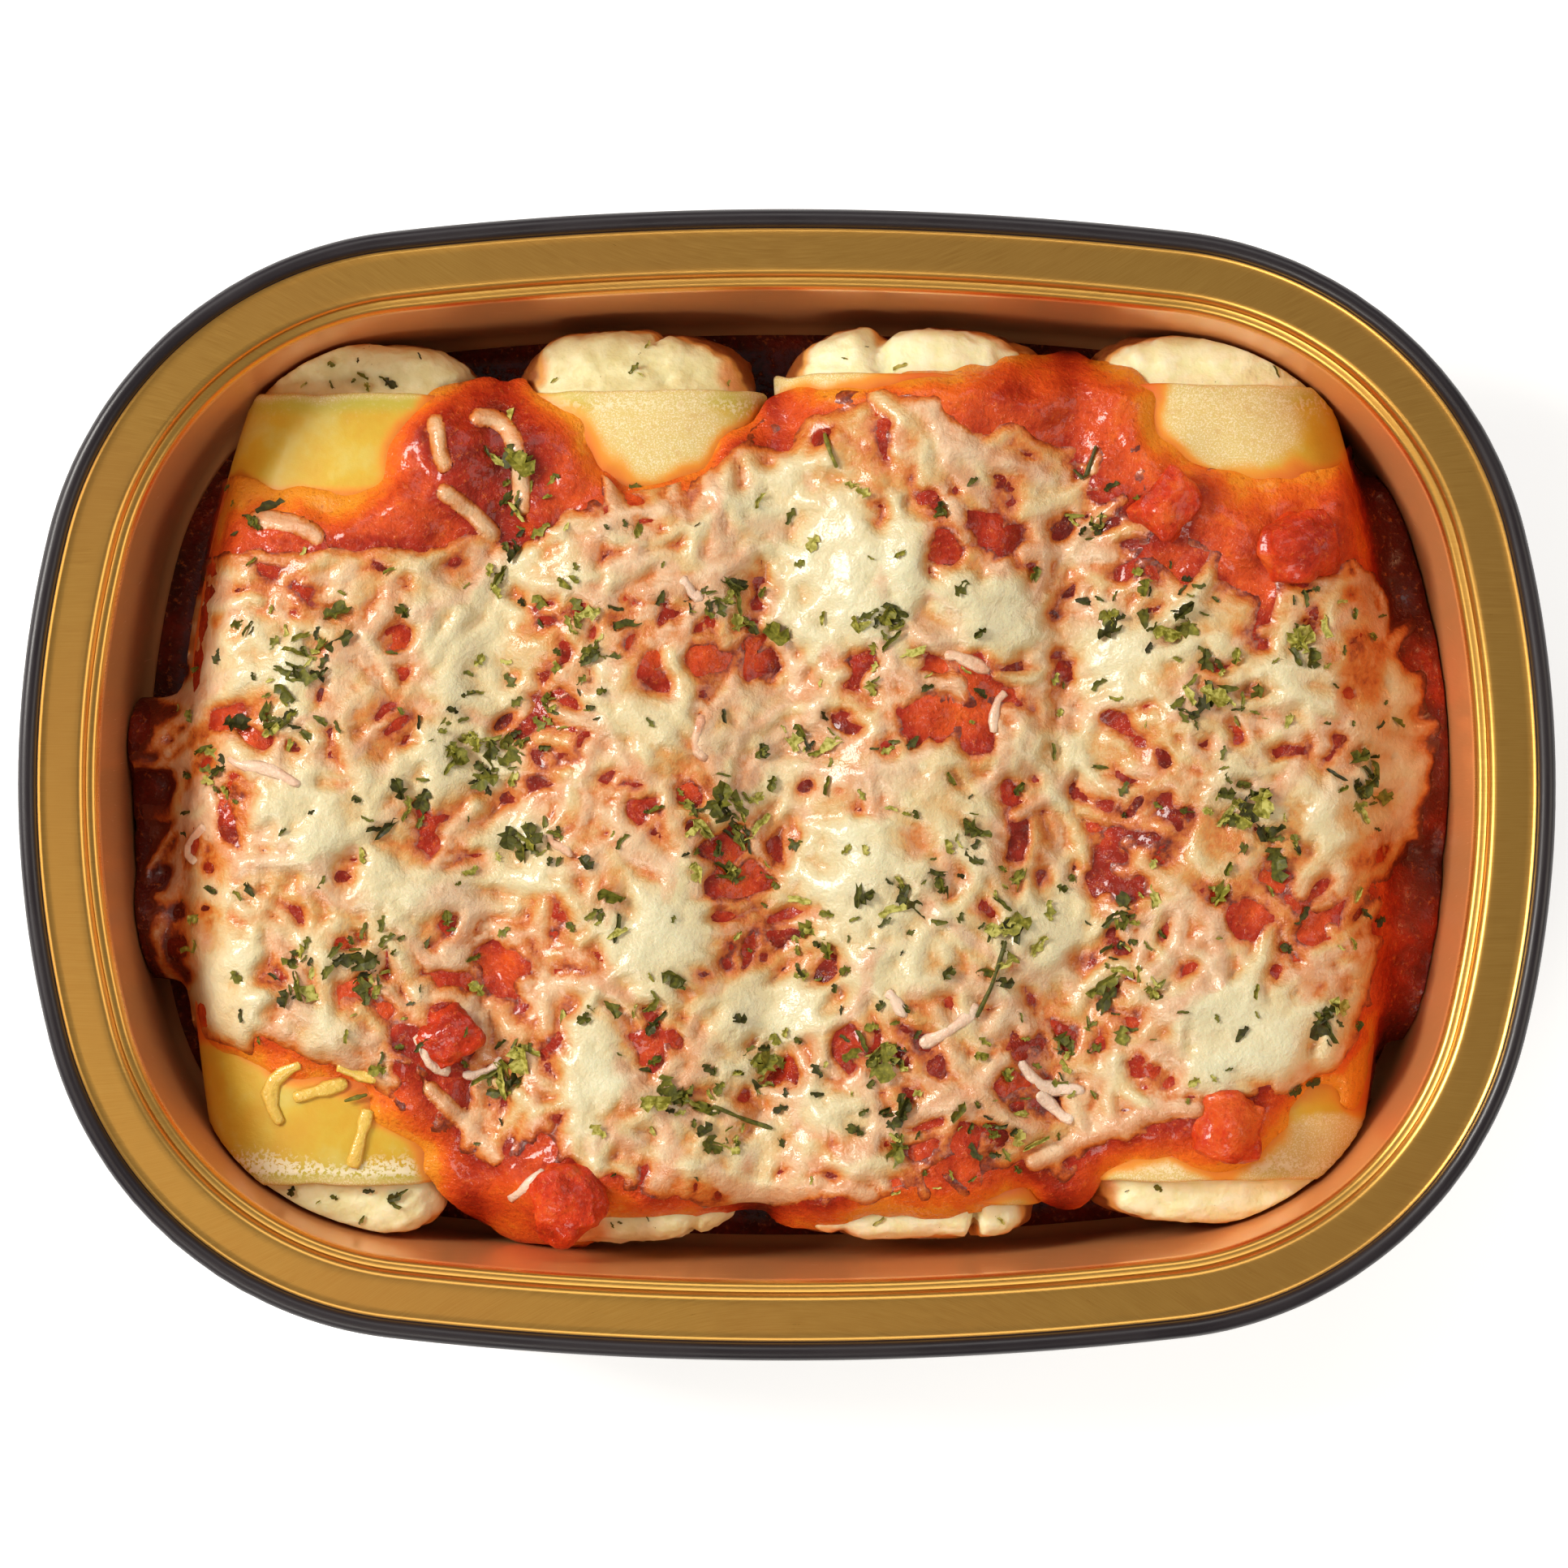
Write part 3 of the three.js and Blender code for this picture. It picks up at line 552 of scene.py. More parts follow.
def section_rings(roll, y, offset, wide=1.0, tall=1.0, squareness=ROLL_SQUARENESS,
                  around=ROLL_AROUND):
    """Rings of points round a roll at some y, grown by an offset and scaled, as rows of points."""
    y = np.atleast_1d(np.asarray(y, float))
    wide, tall, squareness = (np.broadcast_to(value, y.shape)[:, None]
                              for value in (wide, tall, squareness))
    centre, half_width, height = (part[:, None] for part in roll_section(roll, y))
    angle = np.linspace(0, 2 * np.pi, around + 1)
    angle[-1] = 0
    across, up = (np.sign(part) * np.abs(part) ** (2 / squareness)
                  for part in (np.cos(angle), np.sin(angle)))
    x = centre + wide * (half_width + offset) * across
    z = tall * (height / 2 + offset) * up + ROLL_FOOT + height / 2
    return np.stack([x, np.broadcast_to(y[:, None], x.shape), z], axis=-1)


def pasta_rows(roll, seed):
    back, front = roll["reach"]
    half = PASTA_THICKNESS / 2
    outer = section_rings(roll, np.linspace(front, back, PASTA_OUTSIDE_STEPS), 0)
    inner = section_rings(roll, np.linspace(back, front, PASTA_INSIDE_STEPS), -PASTA_THICKNESS)
    back_rim, front_rim = (np.concatenate([
        section_rings(roll, end + side * half * math.sin(math.radians(turn)),
                      -half + half * math.cos(math.radians(turn))) for turn in turns])
        for end, side, turns in ((back, 1, RIM_TURNS), (front, -1, RIM_TURNS[::-1])))
    rows = np.concatenate([outer, back_rim, inner, front_rim, outer[:1]])
    waves = 0.45 * noise(rows, 19, seed) + 0.16 * noise(rows, 6.5, seed + 1)
    near_end = smoothstep(9, 0, np.minimum(back - rows[..., 1], rows[..., 1] - front))
    flare = near_end * (0.25 + 0.35 * noise(rows, 8, seed + 2))
    rows[..., 2] += (waves - 0.25) * (rows[..., 2] > 8) + flare * 0.5
    frayed = 0.5 * near_end * noise(rows[..., [0, 2]], 7, seed + 3, 2)
    rows[..., 1] += frayed * np.sign(rows[..., 1])
    rows[-1] = rows[0]
    return held_in_tray(rows)


pasta_meshes = [skin(pasta_rows(roll, 20 + 7 * i), f"pasta_roll_{i + 1}_skin")
                for i, roll in enumerate(ROLLS)]
print("pasta skins:", [len(mesh.vertices) for mesh in pasta_meshes])

# %% [markdown]
# Ricotta is soft, dense and crumbly: it keeps the lumps and cracks that it had when it was piped.
# Each filling is a body with rounded ends, roughened by four sizes of noise wherever it stands out
# of the pasta, and split by the cracks listed here.

# %% Ricotta fillings
FILLING_AROUND, FILLING_STEPS = 120, 24
# Cracks across a filling's end, as [roll, side, x, width, depth]. Side 1 is the back.
CRACKS = [
    (2, 1, 14.8, 1.9, 2.0), (2, 1, 18.2, 0.8, 0.9), (2, 1, 33.0, 1.2, 0.7), (1, 1, -19.0, 0.7, 1.0),
    (1, -1, -13.5, 1.0, 1.1), (2, -1, 27.3, 0.7, 2.6), (2, -1, 8.0, 1.2, 0.8),
]
TIP_ROUNDNESS = 2.6  # of the end's outline, seen from above
TIP_FLATNESS = 7  # of its profile from the side: a nearly flat top with a crisp rim
TIP_STEPS = 30
LUMP_SIZES = ((0.7, 11), (0.35, 4.2), (0.36, 1.9), (0.18, 0.9))


def filling_rows(index, roll):
    back, front = roll["reach"]
    tip = np.sin(np.linspace(0, np.pi / 2, TIP_STEPS))
    straight = np.linspace(front, back, FILLING_STEPS)[1:-1]

    def both_ends(at_tips, between):
        return np.concatenate([at_tips[::-1], np.full(len(straight), between), at_tips])

    y = np.concatenate([front - tip[::-1] * roll["filling"][1], straight,
                        back + tip * roll["filling"][0]])
    narrowing, lowering = (both_ends((1 - tip**power) ** (1 / power), 1.0)
                           for power in (TIP_ROUNDNESS, TIP_FLATNESS))
    rows = section_rings(roll, y, -PASTA_THICKNESS - 0.5, narrowing, lowering,
                         ROLL_SQUARENESS + 2.2 * both_ends(tip, 0.0), FILLING_AROUND)
    middle_z = ROLL_FOOT + roll["height"] / 2
    past = past_ends(roll, rows[..., 1])
    out = smoothstep(0.0, 3.0, past)
    side = np.sign(rows[..., 1])
    centre = np.column_stack([np.full(y.shape, rows[..., 0].mean()), y * 0.86,
                              np.full(y.shape, middle_z)])
    away = unit(rows - centre[:, None])
    seed = 60 + 11 * index
    lumps = sum(size * noise(rows, width, seed + i) for i, (size, width) in enumerate(LUMP_SIZES))
    rows = rows + away * ((lumps - 0.5) * out)[..., None]
    for which, end, x, width, depth in CRACKS:
        if which == index:
            wander = 1.6 * noise(rows[..., 1:], 3.5, seed + 5)
            bite = np.exp(-((rows[..., 0] - x - wander) / width) ** 2) * out * (side == end)
            rows[..., 1] -= end * depth * bite
            rows[..., 2] -= 0.7 * depth * bite * (rows[..., 2] > middle_z)
    rows[..., 2] -= (0.6 * out + 0.16 * past) * (rows[..., 2] > middle_z)
    rows = held_in_tray(rows, 0.1)
    rows[..., 2] = np.maximum(rows[..., 2], ROLL_FOOT)
    return rows


filling_meshes = [skin(filling_rows(i, roll), f"ricotta_filling_{i + 1}_skin")
                  for i, roll in enumerate(ROLLS)]
print("filling skins:", [len(mesh.vertices) for mesh in filling_meshes])

# %% [markdown]
# ## Heights over the food
# Sauce and cheese are poured and melted over the rolls, so both are best thought of as heights over
# the tray. They are worked out on a raster of points half a millimetre apart, where blurring and
# stamping are quick, and every mesh then reads its heights from there.

# %% The raster
RASTER = 0.5
BLUR_MARGIN = 24
raster_x = np.arange(-104, 104.01, RASTER)
raster_y = np.arange(-76, 76.01, RASTER)
X, Y = np.meshgrid(raster_x, raster_y)
XY = np.stack([X, Y], axis=-1)


def at(field, x, y):
    """A raster's value at any points, blended between its four nearest ones."""
    column = np.clip((x - raster_x[0]) / RASTER, 0, len(raster_x) - 1.001)
    row = np.clip((y - raster_y[0]) / RASTER, 0, len(raster_y) - 1.001)
    i, j = np.asarray(row).astype(int), np.asarray(column).astype(int)
    u, v = column - j, row - i
    near = mix(field[i, j], field[i, j + 1], u)
    far = mix(field[i + 1, j], field[i + 1, j + 1], u)
    return mix(near, far, v)


def under(points, field):
    """A raster's value at points of [x, y] or [x, y, z]."""
    return at(field, points[:, 0], points[:, 1])


def blurred(field, radius):
    """The raster smoothed by a bell of that radius in millimetres, mirrored at its border."""
    wide = np.pad(field, BLUR_MARGIN, mode="reflect")
    across = np.fft.rfftfreq(wide.shape[1], RASTER)
    along = np.fft.fftfreq(wide.shape[0], RASTER)
    bell = np.exp(-2 * (np.pi * radius) ** 2 * (across[None] ** 2 + along[:, None] ** 2))
    smooth = np.fft.irfft2(np.fft.rfft2(wide) * bell, wide.shape)
    return smooth[BLUR_MARGIN:-BLUR_MARGIN, BLUR_MARGIN:-BLUR_MARGIN]


def rounded(outline):
    """A smooth closed curve through an outline's points, with four more between each two."""
    points = np.asarray(outline, float)
    before, after, beyond = (np.roll(points, shift, axis=0) for shift in (1, -1, -2))
    curve = [0.5 * (2 * points + (after - before) * t
                    + (2 * before - 5 * points + 4 * after - beyond) * t**2
                    + (3 * points - before - 3 * after + beyond) * t**3)
             for t in (0, 0.2, 0.4, 0.6, 0.8)]
    return np.stack(curve, axis=1).reshape(-1, 2)


def squared_distance(path, x, y):
    """The squared distance of points from a line of points."""
    nearest = np.full(x.shape, 1e9)
    for (x1, y1), (x2, y2) in zip(path[:-1], path[1:]):
        dx, dy = x2 - x1, y2 - y1
        along = np.clip(((x - x1) * dx + (y - y1) * dy) / (dx * dx + dy * dy), 0, 1)
        nearest = np.minimum(nearest, (x - x1 - along * dx) ** 2 + (y - y1 - along * dy) ** 2)
    return nearest


def inside_outline(outline):
    """How far inside a smooth closed outline the raster's points are, negative outside it."""
    curve = rounded(outline)
    closed = np.concatenate([curve, curve[:1]])
    inside = np.zeros(X.shape, bool)
    for (x1, y1), (x2, y2) in zip(closed[:-1], closed[1:]):
        if y1 != y2:
            inside ^= ((y1 > Y) != (y2 > Y)) & (X < x1 + (Y - y1) * (x2 - x1) / (y2 - y1))
    return np.where(inside, 1, -1) * np.sqrt(squared_distance(closed, X, Y))


def inside_oval(oval, points):
    """How far inside an oval of x, y, half length, half width and turn: 1 in its middle."""
    cx, cy, half_length, half_width, turn = oval[:5]
    cos, sin = math.cos(math.radians(turn)), math.sin(math.radians(turn))
    dx, dy = points[..., 0] - cx, points[..., 1] - cy
    return 1 - np.hypot((dx * cos + dy * sin) / half_length, (dy * cos - dx * sin) / half_width)


def bump(oval, low, high, ragged=0.0, points=XY):
    """An oval's bump, which rises between two edges. The oval's sixth number is its height."""
    return [*oval, 1][5] * smoothstep(low, high, inside_oval(oval, points) + ragged)


def highest(ovals, low, high, ragged=0.0):
    return np.max([bump(oval, low, high, ragged) for oval in ovals], axis=0)


def section_over(path, radius, height):
    """The window of the raster near a line of points, and a strand's round section in it."""
    (x0, y0), (x1, y1) = path.min(0) - radius - 1, path.max(0) + radius + 1
    columns = slice(*np.searchsorted(raster_x, (x0, x1)))
    rows = slice(*np.searchsorted(raster_y, (y0, y1)))
    away = squared_distance(path, X[rows, columns], Y[rows, columns])
    return (rows, columns), height * np.sqrt(np.clip(1 - away / radius**2, 0, 1))


print("raster:", X.shape)

# %% [markdown]
# ## The tomato sauce
# The sauce lies some two and a half millimetres deep over the rolls, stands between them, and has
# run down beside the outer ones. Its edge is the line where it stopped on the bare pasta, thin and
# rounded like any wet edge. Pulp makes it lumpy at every size, so its lumps are stamped one by one.

# %% Where the sauce lies
SAUCE_DEPTH = 2.6
VALLEY_LEVEL = 26.2
SAUCE_EDGE = [
    (-88, 44), (-76, 44), (-65, 42), (-60, 45), (-57, 52), (-54, 57.5), (-49, 59), (-42, 59.5),
    (-36, 57.5), (-31, 54), (-28.5, 48), (-22, 44.5), (-13, 47), (-6, 53), (1, 57), (12, 59.5),
    (20, 61), (28, 62), (38, 62.5), (42, 63), (46, 62), (51, 61), (55, 58.5), (55, 50.5),
    (62, 47.5), (71, 45.5), (79, 45), (83, 46), (87, 51), (93, 49), (99, 36), (101, 0),
    (100, -32), (92, -41), (87, -47), (81, -45), (75, -47), (72, -54), (67, -57.5), (57, -55.5),
    (48, -56), (43, -62), (39, -61), (34, -59), (27, -61.5), (12, -64), (3, -65), (-5, -63),
    (-15, -64.5), (-26, -64.5), (-30, -68.5), (-36, -70), (-42, -68), (-47, -63), (-52, -58),
    (-55, -53), (-60, -49), (-63, -45), (-72, -43), (-82, -40), (-90, -37), (-93, -31),
    (-98, -28), (-98.5, -20), (-97.5, -8), (-98, 2), (-99, 8), (-97.5, 12), (-93.5, 16),
    (-92, 22), (-90.5, 30), (-89.5, 38),
]
# Thick places, as [x, y, half length, half width, turn, height].
SAUCE_LUMPS = [
    (-43, 47, 13, 13, 0, 3.0), (-35, -62, 8.5, 6.5, 80, 3.6), (28, 57, 20, 5, 0, 1.0),
    (-1, -62, 26, 3.5, 0, 1.3), (-49, -36, 11, 9, 40, 2.4), (62, 40, 17, 8, -25, 1.6),
    (-17, -29, 6, 5, 0, 2.0), (58, 8, 12, 16, 0, 1.0), (-70, 6, 12, 20, 0, 0.8),
    (25, 37, 12, 8, 20, 1.2), (88, -30, 6, 12, 0, 1.6), (-90, 3, 6, 9, 0, 2.0),
]
# Where it lies so thin that only an oily film is left, as ovals too.
OILY_EDGES = [(74, 42, 24, 9, -15), (-74, 42, 16, 5, 0), (4, 54, 14, 4, 10), (88, -38, 8, 12, 0),
              (-70, -43, 20, 4, -15)]
# Spills between the outer rolls and the wall, as [side, y, half length, height].
SIDE_SPILLS = [(-1, 7, 7, 20.5), (-1, -5, 11, 15), (-1, -21, 9, 20.5), (1, 8, 26, 22.5),
               (1, -22, 18, 20.5), (1, 34, 14, 16)]
SPILL_X, SPILL_SLOPE = 80, 0.32


def blended_top(fields, softness):
    """The highest of several heights, with the creases between them filled like a wet surface."""
    top = fields[0]
    for field in fields[1:]:
        overlap = np.clip(1 - np.abs(top - field) / softness, 0, 1)
        top = np.maximum(top, field) + softness * overlap**2 / 4
    return top


def spill(side, middle, half_length, height):
    reach = np.sqrt(np.clip(1 - np.abs((Y - middle) / half_length) ** 2.6, 0, 1))
    slope = height - SPILL_SLOPE * (side * X - SPILL_X)
    return np.where((side * X > SPILL_X) & (reach > 0), slope * reach, 0)


sauce_inside = inside_outline(SAUCE_EDGE) + 1.5 * noise(XY, 7, 31) + 0.8 * noise(XY, 3, 32)
lumps = sum(bump(oval, 0, 0.8) for oval in SAUCE_LUMPS)
oily = highest(OILY_EDGES, 0, 0.5)
bare_top = contents_top(X, Y)
wet_lip = np.sqrt(np.clip(sauce_inside / 1.6, 0, 1))
depth = SAUCE_DEPTH * mix(0.17, 1.0, smoothstep(0, 1, sauce_inside / mix(3.2, 9, oily))) * wet_lip
over_rolls = bare_top + depth + lumps * smoothstep(0, 5, sauce_inside)
valley = (VALLEY_LEVEL - 3.0 * smoothstep(7, 0, sauce_inside)) * smoothstep(70, 61, np.abs(Y))
valley = np.where(np.abs(X) < 84, valley + 0.6 * lumps, 0)
spilled = np.max([spill(*numbers) for numbers in SIDE_SPILLS], axis=0)
poured = blended_top([over_rolls, valley, spilled], 8.0)
settled = np.maximum(blurred(poured, 1.3), bare_top + 0.5 * depth)
# On the rolls it thins out towards its edge, where only an oily film is left.
filled_top = blurred(blended_top([bare_top, valley - 1.0], 4.0), 0.6)
film_limit = (0.3 + mix(0.95, 0.28, oily) * np.clip(sauce_inside, 0, 30)) * wet_lip + 1.2 * lumps
settled = np.where(filled_top > 15, np.minimum(settled, filled_top + film_limit), settled)
settled = blurred(settled, 0.6)
print("sauce between the rolls:", at(settled, -44.0, 0.0).round(1), "mm high")

# %% Pulp in the sauce
PULP_LUMPS = 1500
pulp = np.zeros(X.shape)
draw = np.random.default_rng(41)
for _ in range(PULP_LUMPS):
    start = draw.uniform((-100, -71), (100, 63))
    heading = draw.uniform(0, 2 * math.pi)
    length = draw.choice([0.2, 1.5, 4.0], p=[0.5, 0.35, 0.15])
    size = draw.uniform(0.8, 2.7)
    window, section = section_over(np.array([start, start + length * circle([heading])[0]]),
                                   size, 0.42 * size)
    pulp[window] += np.maximum(section - 0.55 * pulp[window], 0)
pulp = blurred(pulp, 0.4)
grit = 0.35 * noise(XY, 4.5, 51) + 0.22 * noise(XY, 2.1, 52) + 0.1 * noise(XY, 1.1, 53)
wet_top = settled + smoothstep(0.3, 4.5, sauce_inside) * (pulp + grit - 0.35)
sauce_top = wet_top - 0.9 * smoothstep(0.2, -1.2, sauce_inside)
print("pulp up to", pulp.max().round(1), "mm high")

# %% [markdown]
# The mesh is a grid over the whole pool. Faces beyond the sauce's edge are deleted, the outermost
# ones that are left dive into the pasta, and the rest is extruded down to close it. So the visible
# edge is the smooth line where sauce meets pasta, with no steps from the grid.

# %% A sheet over a raster of heights


def drape(name, cell, tops, keep, thickness):
    """A closed sheet with those heights, on square cells, out to where keep falls to 0."""
    (x0, y0), (x1, y1) = XY[keep > 0].min(0) - cell, XY[keep > 0].max(0) + cell
    columns, rows = math.ceil((x1 - x0) / cell), math.ceil((y1 - y0) / cell)
    work = bmesh.new()
    bmesh.ops.create_grid(work, x_segments=columns, y_segments=rows, size=0.5)
    flat = np.array([vert.co[:2] for vert in work.verts]) + 0.5
    flat = [x0, y0] + flat * [columns, rows] * cell
    inside = under(flat, keep)
    slope = np.column_stack([under(flat, part) for part in np.gradient(keep, RASTER)[::-1]])
    steep = np.maximum(np.linalg.norm(slope, axis=1), 0.3)
    step = np.clip(-inside / steep, 0, 1.3 * cell)
    flat = flat + slope * (step / steep)[:, None]
    move_to(work.verts, held_in_tray(np.column_stack([flat, under(flat, tops)]), -0.35))
    stray = [face for face in work.faces if max(inside[vert.index] for vert in face.verts) <= 0]
    bmesh.ops.delete(work, geom=stray, context="FACES")
    # Faces that meet at one corner only would leave the sheet open there.
    while pinched := [vert for vert in work.verts
                      if sum(edge.is_boundary for edge in vert.link_edges) > 2]:
        bmesh.ops.delete(work, geom=list({vert.link_faces[0] for vert in pinched}),
                         context="FACES")
    lower = thickened(work)
    drop = under(np.array([vert.co for vert in lower]) / MM, thickness)
    for vert, down in zip(lower, drop):
        vert.co.z = max(vert.co.z - down * MM, ROLL_FOOT * MM)
    bmesh.ops.reverse_faces(work, faces=work.faces[:])
    return meshed(work, name)


deep = np.clip(sauce_top - np.maximum(bare_top + 0.2, 1.0), 0.6, 4.0)
sauce_keep = np.minimum(sauce_inside + 0.9, (settled - 8) / 6)
sauce_mesh = drape("tomato_sauce_skin", 0.86, sauce_top, sauce_keep, deep)
sauce_points = vertex_array(sauce_mesh)
sauce_thickness = sauce_top - bare_top
sauce_film = np.clip(np.minimum(sauce_thickness, 3.6 + 0.12 * (sauce_thickness - 3.6)), 0, 5)
# Painted shade: the sauce that lies low beside the outer rolls is painted darker red. The noise
# adds a random tone.
painted_shade_and_tone = 4.0 * smoothstep(19, 9, sauce_points[:, 2]) + 1.8 * noise(sauce_points[:, :2], 13, 55, 2)
paint(sauce_mesh, depth=under(sauce_points, blurred(sauce_film, 0.8)) + painted_shade_and_tone)
print("the sauce's highest point:", sauce_points[:, 2].max().round(1), "mm")

# %% [markdown]
# Thin juices have run out on the tray's floor, round the ends of the rolls. They are a shallow pool
# that follows the tray's own outline, and their dark red also paints the shade on the tray's floor.

# %% Juices and painted shade on the floor
JUICE_LEVEL, JUICE_FOOT = 2.4, FOIL + 0.2
JUICE_RINGS, JUICE_UNDERSIDE_RINGS = 26, 6


def juice_and_floor_shade_rows():
    edge = tray_ring(wall_inset(JUICE_LEVEL) + 1.6)
    rows = np.array([level_ring(edge * share, z)
                     for shares, z in ((np.linspace(0, 1, JUICE_RINGS), JUICE_LEVEL),
                                       (np.linspace(1, 0, JUICE_UNDERSIDE_RINGS), JUICE_FOOT))
                     for share in shares])
    rows[:JUICE_RINGS, :, 2] += 0.35 * noise(rows[:JUICE_RINGS, :, :2], 7, 61, 2)
    return rows


juice_and_floor_shade_mesh = skin(juice_and_floor_shade_rows(), "pan_juices_and_floor_shade_skin")
print("juices:", len(juice_and_floor_shade_mesh.vertices), "vertices")

# %% [markdown]
# ## Diced tomato
# Five pieces of tomato stand out of the sauce. Each starts as a cube, is divided, drawn towards a
# ball and roughened, which leaves it with the soft corners of cooked dice.

# %% Tomato dice
# As [x, y, size, turn, the seed of its own roughness].
TOMATO_DICE = [(75.5, 35.5, 11.5, 15, 77), (56.5, 41.5, 11, 50, 73), (65.5, -50.5, 11.5, -10, 79),
               (-50, -38, 10.5, 35, 76), (-33.5, -61.5, 11.5, 10, 78)]
DICE_SHAPE = np.array([1, 0.86, 0.62])
DICE_CUTS, DICE_ROUNDNESS = 15, 0.72


def dice_mesh(index, x, y, size, turn, seed):
    work = bmesh.new()
    bmesh.ops.create_cube(work, size=1)
    bmesh.ops.subdivide_edges(work, edges=work.edges[:], cuts=DICE_CUTS, use_grid_fill=True)
    points = np.array([vert.co for vert in work.verts]) * DICE_SHAPE
    length = np.linalg.norm(points, axis=1)[:, None]
    points = points * mix(1, 0.5 / length, DICE_ROUNDNESS) * size
    rough = 2.4 * noise(points, 6.4, seed) + 1.0 * noise(points, 2.4, 80 + index, 2)
    points = points + unit(points) * (rough - 0.4)[:, None]
    cos, sin = circle([math.radians(turn)])[0]
    points = points @ np.array([[cos, sin, 0], [-sin, cos, 0], [0, 0, 1]])
    move_to(work.verts, points + [x, y, at(settled, x, y) - 1.0])
    return meshed(work, f"tomato_dice_{index + 1}_skin")


dice_meshes = [dice_mesh(i, *dice) for i, dice in enumerate(TOMATO_DICE)]
print("dice:", [len(mesh.vertices) for mesh in dice_meshes])

# %% [markdown]
# ## Melted mozzarella
# The cheese went on as shreds, and in the oven they ran together: into a smooth sheet where they
# lay thick, and into a net of strands round windows of sauce where they were few. So it is made as
# it happened. Hundreds of strands are stamped on the raster, the result is blurred where it melted
# most, thick patches are added and windows are opened. What is left of its thickness drives the
# colour too: oily orange where it thins out, pinkish where sauce shines through, cream where thick.

# %% Where the cheese lies
CHEESE_EDGE = [
    (-92, 33), (-78, 36), (-62, 35), (-48, 37), (-40, 36), (-31, 42), (-20, 45), (-10, 47),
    (-4, 56), (4, 59), (13, 59.5), (20, 57.5), (26, 58.5), (32, 54), (40, 50.5), (48, 50),
    (53, 52), (58, 45), (62, 36), (72, 32), (83, 33), (91, 27), (95, 18), (96, 5), (95, -7),
    (90, -14), (89, -24), (84, -38), (76, -46), (64, -47), (52, -52), (40, -58), (24, -62),
    (4, -62), (-12, -62), (-26, -60), (-40, -57), (-52, -52), (-60, -45), (-72, -41),
    (-86, -39), (-92, -30), (-96, -20), (-97, -4), (-98, 9), (-95, 20),
]
# Thick, creamy patches, as [x, y, half length, half width, turn, height].
CREAM = [
    (7, 32, 8.5, 15.5, 0, 1.7), (17, 35, 3.4, 12, 0, 2.0), (30, 25, 7.5, 7, 0, 1.5),
    (49, 18, 7, 6, 0, 1.2), (11, -14, 9, 9, 0, 1.7), (-2, -33, 10, 5, 0, 1.5),
    (-29, -41, 4.5, 10.5, 0, 1.5), (69, -37, 12, 8.5, 10, 1.8), (39, -21, 9.5, 5.5, 0, 1.2),
    (-83, -31, 6, 8, 0, 1.7), (-19, -24, 8, 10, 20, 1.7), (43, 5, 10, 4, 0, 1.0),
    (-44, 20, 11, 8, 20, 1.3), (-49, 3, 8, 8, 0, 1.3), (-77, 18, 8, 9, 0, 1.1),
    (-70, -5, 8, 8, 0, 1.2), (-58, -16, 7, 7, 0, 1.0), (-68, -36, 6, 4, 0, 0.8),
    (-20, 8, 5, 9, 40, 0.8), (22, -2, 8, 7, 0, 0.8), (62, -10, 9, 6, 30, 0.8),
    (8, -48, 7, 4, 0, 1.0), (-35, 32, 7, 6, 0, 0.9), (-2, 43, 7, 5, 30, 1.0),
    (62, 25, 8, 5, 30, 0.9), (20, -27, 8, 5, 0, 0.9), (-40, -12, 6, 9, 0, 1.0),
    (76, 16, 8, 8, 0, 0.8), (89, 7, 6, 12, 0, 0.7), (78, -6, 8, 8, 0, 0.8),
]
# Windows on to the sauce, as [x, y, half length, half width, turn, how open].
WINDOWS = [
    (20, 41.5, 4, 3.2, 0, 1), (23, 35, 3.4, 4, 0, 1), (31, 38, 4, 6.5, 0, 1),
    (-24, 24, 4.5, 5.5, 0, 1), (-5.5, 21, 3.2, 9, 0, 0.8), (25, 18.5, 4, 3.6, 0, 1),
    (28.5, 10.5, 5, 5, 0, 1), (40, 17.5, 2, 7, 0, 1), (15, 6, 3.1, 2.8, 0, 1),
    (-15, 1.7, 6, 4.5, -30, 0.75), (2.5, 14, 5.2, 2.6, 0, 0.6), (-6.5, -11, 6.5, 9, 0, 0.75),
    (-4, -24, 4.5, 5, 0, 0.95), (-19, -38, 3.4, 4.4, 0, 1), (25, -56, 11, 7, 0, 1),
    (24.5, -43, 3.6, 3.4, 0, 1), (36, -45, 7, 5, 0, 1), (59.5, -27, 3, 1.8, 0, 1),
    (50, -6, 2.6, 5, 20, 0.8), (-59, 12, 6, 2.8, -15, 0.9), (-44, -28, 5, 6, 0, 1),
    (-51, -40, 10, 7.5, 0, 0.85), (56, 41, 9, 7, 0, 1), (71, 36, 11, 8, -20, 1),
    (-86, 6, 3.5, 5, 0, 1), (-88.5, -9.5, 2, 3.5, 0, 1), (-91.5, -21, 5.5, 5, 0, 1),
    (-85, 40, 9, 8, 0, 1), (-60, 40, 26, 5.5, 0, 0.9), (-40, 44, 12, 9, 0, 1),
    (83, 13, 1.6, 2.6, 0, 1), (68, -21, 5, 3, 40, 0.8), (73, -50, 8, 7, 0, 1),
    (93, -34, 5, 11, 0, 1), (-38, -58, 8, 8, 0, 1), (62, 17, 2.5, 4, 30, 0.9),
    (14, 46, 7, 3, -20, 0.9), (52, 33, 5, 4, 0, 0.9), (-66, 25, 2.6, 2, 0, 1),
    (-24, -17, 2.2, 3.8, 20, 0.7), (-80, 10, 4, 3.4, 0, 0.8), (-82, -3, 3.5, 4, 0, 0.8),
    (12, -38, 6, 4, 30, 0.7), (54, -43, 5, 4, 0, 0.8), (-66, -14, 2.6, 3, 0, 0.8),
    (33, 0, 2.2, 2, 0, 0.8), (60, 1, 2.2, 3, 0, 0.8),
]
